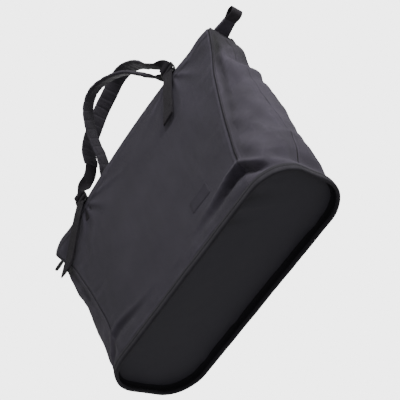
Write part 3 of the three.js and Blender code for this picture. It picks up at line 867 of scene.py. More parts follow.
def gusset_detail(z, s, sx):
    """Outward offset on an end wall: crumples, deeper folds, and the lower part drawn in."""
    seed = 3 if sx > 0 else 8
    width = gusset_width(z)
    across = (s - 0.5) * 2
    y = across * half_depth(z) * 1.25
    ya = y + 12 * noise(y / 80.0, z / 80.0, sx, seed)
    za = z + 12 * noise(y / 80.0, z / 80.0, sx + 5, seed + 1)
    # the large crumples' strength
    large = 0.4
    offset = 4.2 * large * noise(ya / 55.0, za / 46.0, 0.3, seed + 2)
    offset += large * (1.9 * ridged(ya / 46.0, za / 36.0, 1.3, seed + 3) - 0.9)
    offset += 0.28 * ridged(ya / 21.0, za / 17.0, 2.3, seed + 4)
    offset += 0.5 * noise(ya / 14.0, za / 11.0, 4.3, seed + 5)
    for height, tilt, amount, wide in END_FOLDS:
        offset += (amount * bump(height + tilt * y, wide, z) * limit(1 - across * across) ** 0.5
                   * (0.75 + 0.5 * noise(y / 30.0, height, sx, seed + 6)))
    if sx < 0:
        offset = offset * 0.55 - 1.2
    offset = (offset * rise(0.0, 0.10, s) * fall(0.90, 1.0, s) * rise(14, 40, z)
              * (1 - 0.75 * rise(345, 380, z)))
    # the last roll of cloth before the rim
    roll_z = 27 + 34 * fall(0, 0.2, s) + 40 * rise(0.8, 1, s)
    offset += 1.7 * bump(roll_z, 6.0, z) * rise(0.03, 0.12, s) * fall(0.88, 0.97, s)
    offset -= 1.1 * bump(14.5, 3.5, z)
    # drawn in beside the front seam, higher up
    offset -= 2.4 * bump(15, 8.0, s * width) * rise(130, 220, z) * fall(340, 375, z)
    # the fold line down the end wall, a groove between two ridges
    line, strength = fold_line(z, s, sx)
    offset += strength * (0.8 * bump(-3.0, 2.4, line) - 2.0 * bump(0, 1.5, line)
                          + 0.5 * bump(4.0, 3.0, line))
    # the turned seam edge stands proud
    edge = np.minimum(s, 1 - s) * width
    return offset + (0.8 * fall(6.0, 8.0, edge) - 0.35 * bump(4.4, 0.9, edge)) * rise(64, 78, z)


# ---- cloth simulation: an end wall cut too full for its edges, so that it buckles ----
SIM_ROWS, SIM_COLS = 76, 46
SIM_SCALE = 4               # the cloth is simulated this many times larger
SIM_FRAMES = 36
# by end: how much too large the cloth is cut, noise seed, and the offset's limit and shift
SIM_ENDS = {1: dict(full=0.045, seed=11, most=8.5, shift=1.0),
            -1: dict(full=0.035, seed=31, most=5.0, shift=3.0)}
buckling = {}               # by end: the simulated outward movement, one value per grid point


def simulate(points, full, seed):
    """points: a grid pinned at its four edges. Returns how far the cloth moved."""
    rows, cols = points.shape[:2]
    mesh = bpy.data.meshes.new("sim")
    spot = np.moveaxis(points / 48.0, -1, 0)
    start = points + 0.6 * np.stack([noise(*spot, seed + i) for i in range(3)], -1)
    mesh.from_pydata((start.reshape(-1, 3) * MM * SIM_SCALE).tolist(), [],
                     grid_faces(rows, cols))
    made = add_object("sim", mesh)
    index = np.arange(rows * cols).reshape(rows, cols)
    edge = np.unique(np.concatenate([index[:2].ravel(), index[-2:].ravel(),
                                     index[:, :2].ravel(), index[:, -2:].ravel()]))
    made.vertex_groups.new(name="pin").add([int(i) for i in edge], 1.0, "REPLACE")
    modifier = made.modifiers.new("Cloth", "CLOTH")
    settings = modifier.settings
    settings.vertex_group_mass = "pin"
    settings.quality = 7
    settings.mass = 0.25
    settings.air_damping = 4.0
    settings.tension_stiffness = 22
    settings.compression_stiffness = 22
    settings.shear_stiffness = 8
    settings.bending_stiffness = 7.0
    settings.tension_damping = settings.compression_damping = settings.shear_damping = 12
    settings.bending_damping = 1.5
    settings.shrink_min = -full
    settings.effector_weights.gravity = 0.35
    modifier.collision_settings.use_self_collision = False
    modifier.collision_settings.use_collision = False
    modifier.point_cache.frame_start = 1
    modifier.point_cache.frame_end = SIM_FRAMES
    scene.frame_start, scene.frame_end = 1, SIM_FRAMES
    for number in range(1, SIM_FRAMES + 1):
        scene.frame_set(number)
    evaluated = made.evaluated_get(bpy.context.evaluated_depsgraph_get())
    moved = np.zeros(rows * cols * 3, np.float32)
    evaluated.data.vertices.foreach_get("co", moved)
    moved = moved.reshape(rows, cols, 3).astype(float) / (MM * SIM_SCALE)
    scene.frame_set(1)
    bpy.data.objects.remove(made)
    bpy.data.meshes.remove(mesh)
    return moved - points


def buckle_end(sx, full, seed, most, shift):
    """The outward part of the simulated movement, smoothed, limited and faded at the edges."""
    s, z = np.meshgrid(np.linspace(0, 1, SIM_COLS), np.linspace(FOOT_Z, GUSSET_TOP, SIM_ROWS))
    points, normal = gusset_shell(z, s, sx)
    out = np.sum(simulate(settle(points), full, seed) * normal, -1)
    for _ in range(3):
        padded = np.pad(out, 1, mode="edge")
        out = (padded[:-2, 1:-1] + 2 * out + padded[2:, 1:-1]) / 4
        padded = np.pad(out, 1, mode="edge")
        out = (padded[1:-1, :-2] + 2 * out + padded[1:-1, 2:]) / 4
    out = most * np.tanh((out - shift) / most)
    return out * rise(0, 0.07, s) * fall(0.93, 1, s) * rise(16, 40, z) * fall(350, 378, z)


def cubic(values, where):
    """Catmull-Rom along axis 0 of an array, at fractional rows."""
    n = values.shape[0]
    i = np.clip(np.floor(where).astype(int), 0, n - 2)
    f = (where - i).reshape((-1,) + (1,) * (values.ndim - 1))
    p0, p1 = values[np.maximum(i - 1, 0)], values[i]
    p2, p3 = values[i + 1], values[np.minimum(i + 2, n - 1)]
    return 0.5 * (2 * p1 + (p2 - p0) * f + (2 * p0 - 5 * p1 + 4 * p2 - p3) * f ** 2
                  + (3 * p1 - p0 - 3 * p2 + p3) * f ** 3)


def simulated(z, s, sx):
    """Simulated outward movement: smooth over a grid of points, bilinear along a line."""
    if sx not in buckling:
        return 0.0
    field = buckling[sx]
    row = (z - FOOT_Z) / (GUSSET_TOP - FOOT_Z) * (SIM_ROWS - 1)
    col = s * (SIM_COLS - 1)
    if z.ndim == 2:
        return cubic(cubic(field, row[:, 0]).T, col[0]).T
    row, col = np.clip(row, 0, SIM_ROWS - 1.001), np.clip(col, 0, SIM_COLS - 1.001)
    i, j = row.astype(int), col.astype(int)
    u, v = row - i, col - j
    return ((field[i, j] * (1 - u) + field[i + 1, j] * u) * (1 - v)
            + (field[i, j + 1] * (1 - u) + field[i + 1, j + 1] * u) * v)


def gusset_point(z, s, sx, lift=0.0):
    """Outer surface of an end wall, and the shell's normal there."""
    z, s = np.broadcast_arrays(np.asarray(z, float), np.asarray(s, float))
    points, normal = gusset_shell(z, s, sx)
    offset = gusset_detail(z, s, sx) + simulated(z, s, sx) + lift
    return settle(points) + offset[..., None] * normal, normal


def gusset_cloth(sx):
    s, share = np.meshgrid(np.linspace(0.0015, 0.9985, 180), np.linspace(0, 1, 150))
    z = FOOT_Z + (GUSSET_TOP - FOOT_Z) * share
    outer, normal = gusset_point(z, s, sx)
    detail = gusset_detail(z, s, sx) + simulated(z, s, sx)
    width = gusset_width(z)
    seam = np.minimum(s, 1 - s) * width
    below = GUSSET_TOP - z
    foot = rise(64, 78, z) * (1.0 if sx > 0 else 0.5)
    roll = 2.3 * foot * np.exp(-seam / 1.7) + 0.9 * np.exp(-below / 0.9)
    outer = outer - roll[..., None] * normal
    inner = outer - (WALL - np.minimum(roll, 2.0))[..., None] * normal
    rub = (limit(noise(s * 3.1, z / 60.0, sx, 55) * 1.6)
           * limit(ridged(s * 16 + z / 90.0, z / 22.0, sx, 56)) ** 4)
    # creases, seam edge, top edge, rubbed patches, broad blotches
    wear = (crease_wear(detail) * 0.25 + 0.6 * foot * np.exp(-np.maximum(seam - 1.5, 0) / 1.0)
            + 0.5 * np.exp(-below / 2.5) + 0.55 * rub
            + 0.3 * limit(noise(s * 5, z / 42.0, sx + 2, 57)))
    # pale on both sides of the fold line; the rubbed dent ridges and the painted shade in the dents
    line, strength = fold_line(z, s, sx)
    wear = (wear + 0.55 * strength * bump(2.2, 0.9, np.abs(line + 0.4))
            * (0.6 + 0.6 * noise(z / 9.0, 0, sx, 62)) + ridge_wear_and_dent_shade(outer, z))
    # painted shade: darker near the top, at the foot and beside the front seam
    wear = (wear - 0.60 * rise(275, 335, z) - 0.12 * fall(60, 90, z)
            - 0.38 * bump(12, 9.0, s * width) * rise(150, 230, z) * fall(350, 378, z))
    # painted shade along the fold line's groove
    on_line = fall(0.9, 1.9, np.abs(line)) * strength
    wear = wear * (1 - on_line) - 1.0 * on_line
    # painted shade in the seam gaps and where the end wall meets the rim
    wear = paint_seam_shade(wear, seam, foot, z)
    return sheet(outer, inner, columns((s - 0.5) * width, z), wear)


def gusset_stitching(sx):
    parts = []
    z = np.linspace(82, 374, 220)
    inset = 4.4 / gusset_width(z)
    for s in (inset, 1 - inset):
        line, normal = gusset_point(z, s, sx, 0.12)
        parts.append(stitches(line, normal, pitch=4.2, length=3.0, radius=0.34))
    for below in (5.5, 10.5):
        line, normal = gusset_point(GUSSET_TOP - below, np.linspace(0.05, 0.95, 60), sx, 0.12)
        parts.append(stitches(line, normal, pitch=3.8, length=2.7))
    return parts


for sx, tuning in SIM_ENDS.items():
    buckling[sx] = buckle_end(sx, **tuning)
for name, sx in (("right", 1), ("left", -1)):
    piece("gusset_cloth_" + name, [gusset_cloth(sx)], [GUSSET], "gusset_canvas",
          "gusset_" + name)
    piece("gusset_stitching_" + name, gusset_stitching(sx), [THREAD], "gusset_canvas")


# ---- rim: a turned hem round the foot, with its stitch lines ----
def outline(grow, z):
    """Closed loop round the shell at height z, grown outward, and its outward normals."""
    a, b, r = half_length(z) + grow, half_depth(z) + grow, corner(z) + grow
    points, normals = [], []

    def line(start, end, count, normal):
        points.extend(np.linspace(start, end, count, endpoint=False))
        normals.extend([normal] * count)

    def arc(cx, cy, start):
        for i in range(18):
            turn = math.radians(start + 90 * i / 18)
            normal = (math.cos(turn), math.sin(turn))
            points.append(np.array([cx + r * normal[0], cy + r * normal[1]]))
            normals.append(normal)

    line((-(a - r), -b), (a - r, -b), 70, (0, -1))
    arc(a - r, -(b - r), -90)
    line((a, -(b - r)), (a, b - r), 12, (1, 0))
    arc(a - r, b - r, 0)
    line((a - r, b), (-(a - r), b), 70, (0, 1))
    arc(-(a - r), b - r, 90)
    line((-a, b - r), (-a, -(b - r)), 12, (-1, 0))
    arc(-(a - r), -(b - r), 180)
    points, normals = np.array(points), np.array(normals)
    return columns(*points.T, float(z)), columns(*normals.T, 0.0)


# the hem's section: outward of the shell, height
RIM_SECTION = [
    (0.25, 15.2), (0.9, 14.4), (1.35, 13.2), (1.7, 11.5), (2.0, 9.4), (1.75, 8.6), (1.45, 8.2),
    (1.75, 7.8), (2.1, 6.8), (2.35, 4.6), (2.3, 2.6), (1.9, 1.1), (1.1, 0.25), (0.0, 0.0),
    (-1.2, 0.0), (-2.3, 0.2), (-3.3, 0.9), (-3.75, 2.2), (-3.8, 4.2), (-3.55, 6.2),
    (-3.25, 6.9), (-3.5, 7.6), (-3.6, 9.5), (-3.3, 12.0), (-2.6, 13.2), (-1.4, 14.2)]
rim_rings = np.array([outline(grow, z)[0] for grow, z in RIM_SECTION]).transpose(1, 0, 2)
rim_normals = outline(0, 0)[1]
rim_run = run_length(rim_rings[:, 0])
rim_wobble = (0.55 * noise(rim_run / 23.0, 0, 0.5, 91)
              + 0.35 * noise(rim_run / 8.0, 0, 1.5, 92))


def rim_hem():
    count = len(RIM_SECTION)
    lift = 0.5 * noise(rim_run / 40.0, 0, 2.5, 93)
    share = np.linspace(1, 0.4, count)
    rings = rim_rings + (rim_wobble[:, None] * share)[..., None] * rim_normals[:, None, :]
    rings[..., 2] += limit(lift)[:, None] * 0.8
    rubbed = np.zeros(count)
    rubbed[8:14] = 0.7
    rubbed[1:5] = 0.3
    wear = rubbed * (0.6 + 0.5 * noise(rim_run / 12.0, 0, 3.3, 94))[:, None]
    cloth = columns(rim_run[:, None], run_length(RIM_SECTION))
    return sweep(rings, cloth, wear, closed=True)


def rim_stitching():
    normals = close_loop(rim_normals)
    outer = close_loop(outline(1.7, 8.2)[0])
    outer += close_loop(rim_wobble)[:, None] * normals * 0.8
    inner = close_loop(outline(-3.35, 6.9)[0])
    return [stitches(outer, normals, pitch=4.6, length=3.3),
            stitches(inner, -normals, pitch=4.6, length=3.3, radius=0.34)]


piece("rim_hem", [rim_hem()], [RIM], "canvas", "rim_binding", sharp=75)
piece("rim_stitching", rim_stitching(), [THREAD], "canvas")

# ---- recessed base with its lip and soft folds ----
BASE_Z = 15.5
# folds from the front and the back edge: x, depth, width, reach into the base
FRONT_FOLDS = ((128, 3.6, 8, 34), (150, -2.4, 9, 30), (104, -1.6, 8, 26), (172, 2.6, 9, 24),
               (-160, 1.4, 12, 24), (40, 0.9, 9, 18), (76, 1.2, 8, 20))
BACK_FOLDS = ((150, 1.4, 10, 16), (60, 0.7, 9, 12), (-60, 0.9, 9, 12), (-150, 1.4, 11, 18))
# the lip's section: outward of the shell, height, share of the inward wobble
LIP_SECTION = np.array([
    (-2.9, 17.2, 0), (-6.4, 17.2, 0.2), (-7.4, 16.6, 0.8), (-7.2, 15.2, 1), (-5.4, 13.2, 1),
    (-4.3, 11.0, 0.6), (-4.05, 8.0, 0.2), (-3.95, 5.0, 0.1), (-3.75, 4.6, 0), (-2.9, 9.0, 0),
    (-2.8, 13.0, 0)])


def base_floor():
    length_inset, depth_inset = 5.4, 3.0
    a, r = BASE_HALF_LENGTH - length_inset, BASE_CORNER - length_inset
    b = half_depth(BASE_Z) - depth_inset
    u, v = np.meshgrid(np.linspace(-1, 1, 190), np.linspace(-1, 1, 84))
    y = np.sign(v) * (1 - (1 - np.abs(v)) ** 1.25) * b
    past = np.maximum(np.abs(y) - (b - r), 0)
    x = u * (a - r + np.sqrt(np.maximum(r * r - past * past, 0)))
    sag = (0.9 * noise(x / 70.0, y / 50.0, 0.2, 61) + 0.3 * noise(x / 20.0, y / 16.0, 0.7, 62))
    for fold_x, depth, width, reach in FRONT_FOLDS:
        sag += (depth * bump(fold_x, width, x - 0.5 * (y + b))
                * np.exp(-np.maximum(y + b, 0) / reach))
    for fold_x, depth, width, reach in BACK_FOLDS:
        sag += depth * bump(fold_x, width, x) * np.exp(-np.maximum(b - y, 0) / reach)
    low = columns(x, y, BASE_Z - sag * 0.9 - 0.8)
    high = columns(x, y, 17.3)
    # painted shade along two of the front folds: x, width, reach, strength
    wear = np.zeros(x.shape)
    inward = y + BASE_HALF_DEPTH - 8.0
    for fold_x, width, reach, amount in ((150.0, 9.0, 26.0, 0.8), (103.0, 8.0, 20.0, 0.6)):
        wear -= (amount * bump(fold_x, width, x - 0.45 * inward)
                 * np.exp(-np.maximum(inward, 0) / reach))
    return sheet(low, high, columns(x, y), wear)


def base_lip():
    """From the base's edge, rolled down the inside of the rim."""
    rings = []
    for grow, z, _ in LIP_SECTION:
        loop = outline(grow, 0)[0]
        loop[:, 2] = z
        rings.append(loop)
    rings = np.array(rings).transpose(1, 0, 2)
    # follow the long walls' lean
    lean = (BASE_HALF_DEPTH - TOP_HALF_DEPTH) * rings[..., 2] / END_HEIGHT
    rings[..., 1] -= np.sign(rings[..., 1]) * np.abs(rim_normals[:, None, 1]) * lean
    wobble = (0.5 * noise(rim_run / 14.0, 0, 7.5, 95) + 0.8 * noise(rim_run / 37.0, 0, 8.5, 96))
    inward = np.clip(wobble, -0.4, 1.2)[:, None] * LIP_SECTION[:, 2]
    rings -= inward[..., None] * rim_normals[:, None, :]
    cloth = columns(rim_run[:, None], run_length(LIP_SECTION[:, :2]))
    return sweep(rings, cloth, slot=1, closed=True)


piece("base_cloth", [base_floor(), base_lip()], [BASE, LIP_PAINTED_SHADE], "coated_base", "base_panel",
      sharp=60)
for name in ("base_board_back", "base_board_front"):
    board = frame["nodes"][name]
    board.data.materials.clear()
    board.data.materials.append(BOARD)


# ---- zip closure ----
def zip_strip(side):
    """The cloth strip between a long wall and the zip tape, sagging a little."""
    outer, inner = half_depth(ZIP_Z + 1.2) - WALL - 2.5, 5.95
    x, v = np.meshgrid(np.linspace(-261, 261, 150), np.linspace(0, 1, 12))
    sag = np.sin(np.pi * v) * (0.5 * noise(x / 16.0, v * 2, side, 42)
                               - 1.6 * (0.6 + 0.5 * noise(x / 35.0, v, side, 41)))
    sag = sag * fall(250, 261, np.abs(x))
    top = columns(x, side * (outer + (inner - outer) * v), ZIP_Z + 1.2 + sag)
    row = 0.84                                  # the stitches' place between the edges
    line = columns(np.linspace(-257, 257, 300), side * (outer + (inner - outer) * row),
                   ZIP_Z + 1.25 - 1.6 * math.sin(math.pi * row) * 0.6)
    return [slab(top, 1.1, 0.3 * crease_wear(sag)),
            stitches(line, (0, 0, 1), pitch=4.0, length=2.8, radius=0.34, slot=1)]


def zip_tape(side):
    x, v = np.meshgrid(np.linspace(-268, 290, 200), np.linspace(0, 1, 8))
    ripple = 0.14 * np.sin(x / 2.0) * np.sin(np.pi * v) - 0.5 * rise(262, 290, x)
    top = columns(x, side * (5.55 + (2.45 - 5.55) * v), ZIP_Z + 0.75 + ripple)
    line = columns(np.linspace(-262, 262, 260), side * 3.1, ZIP_Z + 0.85)
    return [slab(top, 0.7),
            stitches(line, (0, 0, 1), pitch=2.2, length=1.6, radius=0.22, slot=1)]


def zip_coil(side):
    turns, per_turn, around, wire = 330, 8, 5, 0.3
    step = np.arange(turns * per_turn + 1)
    turn = 2 * math.pi * step / per_turn
    path = columns(-261 + 522 * step / (turns * per_turn), side * (1.5 - 0.86 * np.cos(turn)),
                   ZIP_Z + 0.85 + 0.78 * np.sin(turn))
    tangent = unit(np.gradient(path, axis=0))
    first = unit(np.cross(tangent, X_AXIS))
    second = np.cross(tangent, first)
    angles = [2 * math.pi * j / around for j in range(around)]
    return sweep(np.stack([path + wire * (math.cos(a) * first + math.sin(a) * second)
                           for a in angles], 1))


for name, side in (("front", -1), ("back", 1)):
    piece("zip_strip_cloth_" + name, zip_strip(side), [CANVAS, THREAD], "canvas",
          "zip_strip_" + name, fold=zip_fold)
    piece("zip_tape_cloth_" + name, zip_tape(side), [TAPE, THREAD], "zip_tape",
          "zip_tape_" + name, body="zip_line")
    piece("zip_coil_wire_" + name, [zip_coil(side)], [COIL], "zip_coil", "zip_coil_" + name,
          body="zip_line", sharp=80)

stops = [block(x, x + 2.6, -2.3, 2.3, ZIP_Z - 0.4, ZIP_Z + 2.2) for x in (-265.1, 262.5)]
piece("zip_stops", stops, [METAL], "zip_metal", "zip_stop_left", "zip_stop_right",
      body="zip_line", bevel=0.6)

SLIDER_X = -254.0
SLIDER_PLATE = [(-5.5, -3), (-3.5, -4.4), (5.5, -3.6), (5.5, 3.6), (-3.5, 4.4), (-5.5, 3)]  # x, y
SLIDER_ARCH = [(-4.2, 4.3), (-3, 4.3), (-3, 7.4), (3, 7.4), (3, 4.3), (4.2, 4.3), (4.2, 8.6),
               (-4.2, 8.6)]     # x, z


def zip_slider():
    plate = [(x + SLIDER_X, y) for x, y in SLIDER_PLATE]
    return [extrude(plate, ZIP_Z + 2.6, ZIP_Z + 4.4), extrude(plate, ZIP_Z - 2.2, ZIP_Z - 0.8),
            block(SLIDER_X - 4.5, SLIDER_X - 1.5, -0.3, 0.3, ZIP_Z - 1.5, ZIP_Z + 3.5),
            extrude([(x + SLIDER_X, z + ZIP_Z) for x, z in SLIDER_ARCH], -1.2, 1.2, axis=1)]


def zip_pull():
    """An eye and a plate, then the moulded grip: oval in section, waisted, with raised ribs."""
    low, high = ZIP_Z + 5.05, ZIP_Z + 6.45
    parts = [washer(rounded(SLIDER_X - 4.2, 0, 10, 7, 2.4),
                    rounded(SLIDER_X - 3.6, 0, 5.4, 4.2, 1.0), low, high),
             extrude(rounded(SLIDER_X - 19.0, 0, 22, 7, 1.4), low, high)]
    start, end = -27.8, -55.0
    a, b = oval(32, 0.7, 0.8)
    rings = []
    for x in np.linspace(start, end, 70):
        near = min(abs(x - start), abs(x - end))
        swell = math.sqrt(max(1 - (1 - min(near / 3.2, 1)) ** 2, 0.02))
        rib = 0.28 * max(0.0, math.cos((x + 33) * 2 * math.pi / 2.9)) if -51 < x < -32 else 0.0
        half_width = (3.9 + 0.35 * math.cos((x + 41.4) / 4.5)) * swell
        rings.append(columns(SLIDER_X + x, half_width * a, ZIP_Z + 5.75 + (2.15 + rib) * swell * b))
    return parts + [sweep(rings)]


piece("zip_slider_body", zip_slider(), [METAL], "zip_metal", "zip_slider", body="zip_slider",
      bevel=0.45)
piece("zip_pull_grip", zip_pull(), [PLASTIC], "zip_metal", "zip_pull_tab", body="zip_pull",
      bevel=0.4)


# ---- webbing ----
def web_section(half, thick):
    """Closed section: ribbed faces, rounded edges."""
    a = np.linspace(-half + 0.5, half - 0.5, 27)
    b = thick / 2 + 0.11 * np.cos(np.arange(27) * math.pi)
    top = list(zip(a, b))
    return np.array(top + [(half, thick * 0.22), (half, -thick * 0.22)]
                    + [(-p, -q) for p, q in top]
                    + [(-half, -thick * 0.22), (-half, thick * 0.22)])


def ribbon_rings(path, across, normal, section):
    return (path[:, None, :] + section[None, :, 0, None] * across[:, None, :]
            + section[None, :, 1, None] * normal[:, None, :])


def ribbon(path, across, normal, section):
    path, across, normal = (np.asarray(q, float) for q in (path, across, normal))
    return sweep(ribbon_rings(path, across, normal, section),
                 columns(section[:, 0], run_length(path)[:, None]))


def level_ribbon(path, across, half, thick):
    """A ribbon whose width keeps one direction."""
    across = np.tile(across, (len(path), 1))
    normal = np.cross(unit(np.gradient(path, axis=0)), across)
    return ribbon(path, across, normal, web_section(half, thick))


# the loop at the zip's right end: x, height over the zip
END_LOOP = [
    (266.4, -1.1), (280, -1.1), (292, -1.1), (296.5, -2.3), (300.2, -3.6), (304, -3.9),
    (307.8, -3.6), (311.2, -2.0), (313.4, 0.2), (314.3, 2.5), (313.7, 4.7), (312.1, 5.9),
    (309.4, 7.0), (306, 7.35), (302.6, 6.6), (299.4, 5.4), (295.8, 3.6), (292.2, 1.9),
    (280, 1.85), (266.4, 1.85)]
# the cloth cover over it: x, half width, half height, centre over the zip
END_COVER = [
    (262.4, 15.2, 2.2, 0.2), (262.8, 16.2, 3.2, 0.2), (264.2, 16.9, 3.7, 0.25),
    (267, 16.6, 3.8, 0.3), (271, 15.9, 3.5, 0.35), (275, 15.2, 3.9, 0.4), (280, 14.3, 3.7, 0.4),
    (285, 13.6, 3.4, 0.4), (289, 13.3, 3.1, 0.4), (290.6, 12.9, 2.6, 0.4),
    (291.0, 12.2, 1.9, 0.4)]


def end_loop():
    def seam(start, end, count, height, up, **thread):
        """Straight stitches between two (x, y) places."""
        z = ZIP_Z + height
        return stitches(np.linspace((*start, z), (*end, z), count), (0, 0, up), length=2.2,
                        slot=1, **thread)

    path = resample([(x, 0, ZIP_Z + z) for x, z in END_LOOP], 70)
    parts = [level_ribbon(path, Y_AXIS, WEB_HALF, 1.5)]
    box = dict(pitch=2.6, radius=0.42)
    for x in (269, 288):
        for height, up in ((2.75, 1), (-2.0, -1)):
            parts.append(seam((x, -10.5), (x, 10.5), 12, height, up, **box))
    for y in (-10.5, 10.5):
        parts.append(seam((269, y), (288, y), 12, 2.75, 1, **box))
    # the cloth end cover that the loop and the tape are sewn into
    a, b = oval(44, 0.42, 0.6)
    rings, wear = [], []
    for x, half_width, half_height, centre in END_COVER:
        y = half_width * a
        z = half_height * b * (1 + 0.10 * np.sin(y / 2.3 + x / 3.0))
        rings.append(columns(x + 0.5 * np.sin(y / 4.0), y, ZIP_Z + centre + z))
        wear.append(np.full(44, 0.55 if x < 264.5 or x > 290 else 0.15))
    rings = np.array(rings)
    parts.append(sweep(rings, rings[..., :2], np.array(wear), slot=2))
    cover = dict(pitch=2.8, radius=0.40)
    for x, height in ((266.4, 3.75), (287.6, 3.2)):
        for up in (1, -1):
            parts.append(seam((x, -12.3), (x, 12.3), 14, 0.35 + up * height, up, **cover))
    for up in (1, -1):
        for y in (-12.3, 12.3):
            parts.append(seam((267, y), (287, -y), 14, 0.4 + up * 3.65, up, **cover))
    return parts


piece("zip_end_webbing", end_loop(), [LOOP_PAINTED_LIGHT, THREAD, GUSSET], "webbing", "zip_end_loop",
      body="zip_line")


# ---- plain patch on the front wall ----
def front_patch():
    centre_x, centre_z, half_x, half_z, radius = 88, 99.0, 22, 13.5, 4
    u, v = np.meshgrid(np.linspace(-1, 1, 34), np.linspace(-1, 1, 22))
    z = v * half_z
    past = limit((np.abs(z) - (half_z - radius)) / radius)
    x = np.sign(u) * np.minimum(np.abs(u) * half_x,
                                half_x - radius + radius * np.sqrt(1 - past ** 2))
    edge = np.minimum(half_x - np.abs(x), half_z - np.abs(z))
    lift = 0.75 * rise(-0.2, 1.0, edge) - 0.3 * bump(2.2, 0.5, edge) + 0.2
    x, z = centre_x + x, centre_z + z
    normal = shell_normal(-1)
    top = wall_point(x, z, -1) + lift[..., None] * normal
    loop = np.array(rounded(0, 0, 39.6, 22.6, 2.4))
    loop = resample(close_loop(columns(*loop.T, 0.0)), 90)
    line = wall_point(centre_x + loop[:, 0], centre_z + loop[:, 1], -1, 0.72)
    return [sheet(top, wall_point(x, z, -1, 0.05), columns(x, z), 0.5 * bump(0.6, 0.8, edge)),
            stitches(line, normal, pitch=3.0, length=2.1, radius=0.26, slot=1)]


piece("plain_patch", front_patch(), [PATCH, THREAD], "patch", "front_patch", body="front_wall")

# ---- ladder-lock buckles, anchors, tails ----
BUCKLE_Y, BUCKLE_Z = 27.3, 411.0
TOP_BAR_Z = BUCKLE_Z + 10
# lifting lip below the lower bar: out from the buckle's plane, up from its centre, thickness
LIFT_LIP = ((0.6, -11.0, 1.2), (1.8, -12.6, 1.0), (3.0, -14.2, 0.9), (3.7, -15.2, 0.6))


def cross_bar(centre_x, y, z, half_y, half_z):
    """A moulded bar with an oval section."""
    a, b = oval(14, 0.7, 0.7)
    x = np.linspace(centre_x - 14.5, centre_x + 14.5, 14)[:, None]
    return sweep(columns(x, y + half_y * a, z + half_z * b))


def buckle(centre_x, side):
    y = side * BUCKLE_Y
    parts = []
    # side rails: thicker at the middle, rounded at the ends
    a, b = oval(12, 0.6, 0.6)
    up = np.linspace(-12, 12, 15)[:, None]
    swell = np.clip(1 - (np.abs(up) / 12) ** 5, 0.12, 1)
    for e in (-1, 1):
        parts.append(sweep(columns(centre_x + e * 15.1 + 1.75 * swell * a,
                                   y + (1.45 + 0.25 * bump(0, 6, up)) * swell * b,
                                   BUCKLE_Z + up)))
    parts.append(cross_bar(centre_x, y, TOP_BAR_Z, 1.45, 1.5))
    parts.append(cross_bar(centre_x, y, BUCKLE_Z, 1.5, 1.75))
    parts.append(cross_bar(centre_x, side * (BUCKLE_Y + 0.3), BUCKLE_Z - 10.4, 1.9, 1.8))
    a, b = oval(20, 0.25, 0.7)
    parts.append(sweep([columns(centre_x + (12.0 - 0.9 * i) * a,
                                side * (BUCKLE_Y + out + 0.8 * thick * b),
                                BUCKLE_Z + rise_z + 0.6 * thick * b)
                        for i, (out, rise_z, thick) in enumerate(LIFT_LIP)]))
    # grip teeth on the middle bar's edge
    for i in range(9):
        x = centre_x - 11.2 + i * 2.8
        parts.append(block(x - 0.5, x + 0.5, y - 1.6, y + 1.6, BUCKLE_Z - 2.1, BUCKLE_Z - 1.2))
    return parts


def anchor(centre_x, side):
    def inside(z):
        """Middle of the webbing against the wall's inner face."""
        return half_depth(z) - WALL - 1.2

    # up the inside and over the edge to the buckle's lower bar
    path = [(inside(358), 358), (inside(380), 380), (inside(398), 398), (inside(403.5), 403.5),
            (inside(404.5) + 0.6, 406.2), (inside(404.5) + 2.0, 407.35),
            (BUCKLE_Y - 2.2, 407.6), (BUCKLE_Y - 0.6, 407.4)]
    path = resample([(centre_x, side * y, z) for y, z in path], 44)
    parts = [level_ribbon(path, X_AXIS, WEB_HALF, 1.5)]
    z = np.linspace(362, 384, 14)
    for x in (-9.5, 0, 9.5):
        parts.append(stitches(columns(centre_x + x, side * (inside(z) - 0.95), z), (0, -side, 0),
                              pitch=2.8, length=2.1, slot=1))
    # the strap threaded over the middle bar, which fills both slots
    wrap = [(-2.4, 6.6), (-0.6, 5.1), (1.6, 3.2), (2.3, 1.2), (2.45, -0.6), (1.9, -2.8),
            (0.2, -4.2), (-1.6, -4.6)]          # y and z from the middle bar
    path = centripetal([(centre_x, side * (BUCKLE_Y + y), BUCKLE_Z + z) for y, z in wrap], 12)
    return parts + [level_ribbon(resample(path, 30), X_AXIS, 12.3, 1.3)]


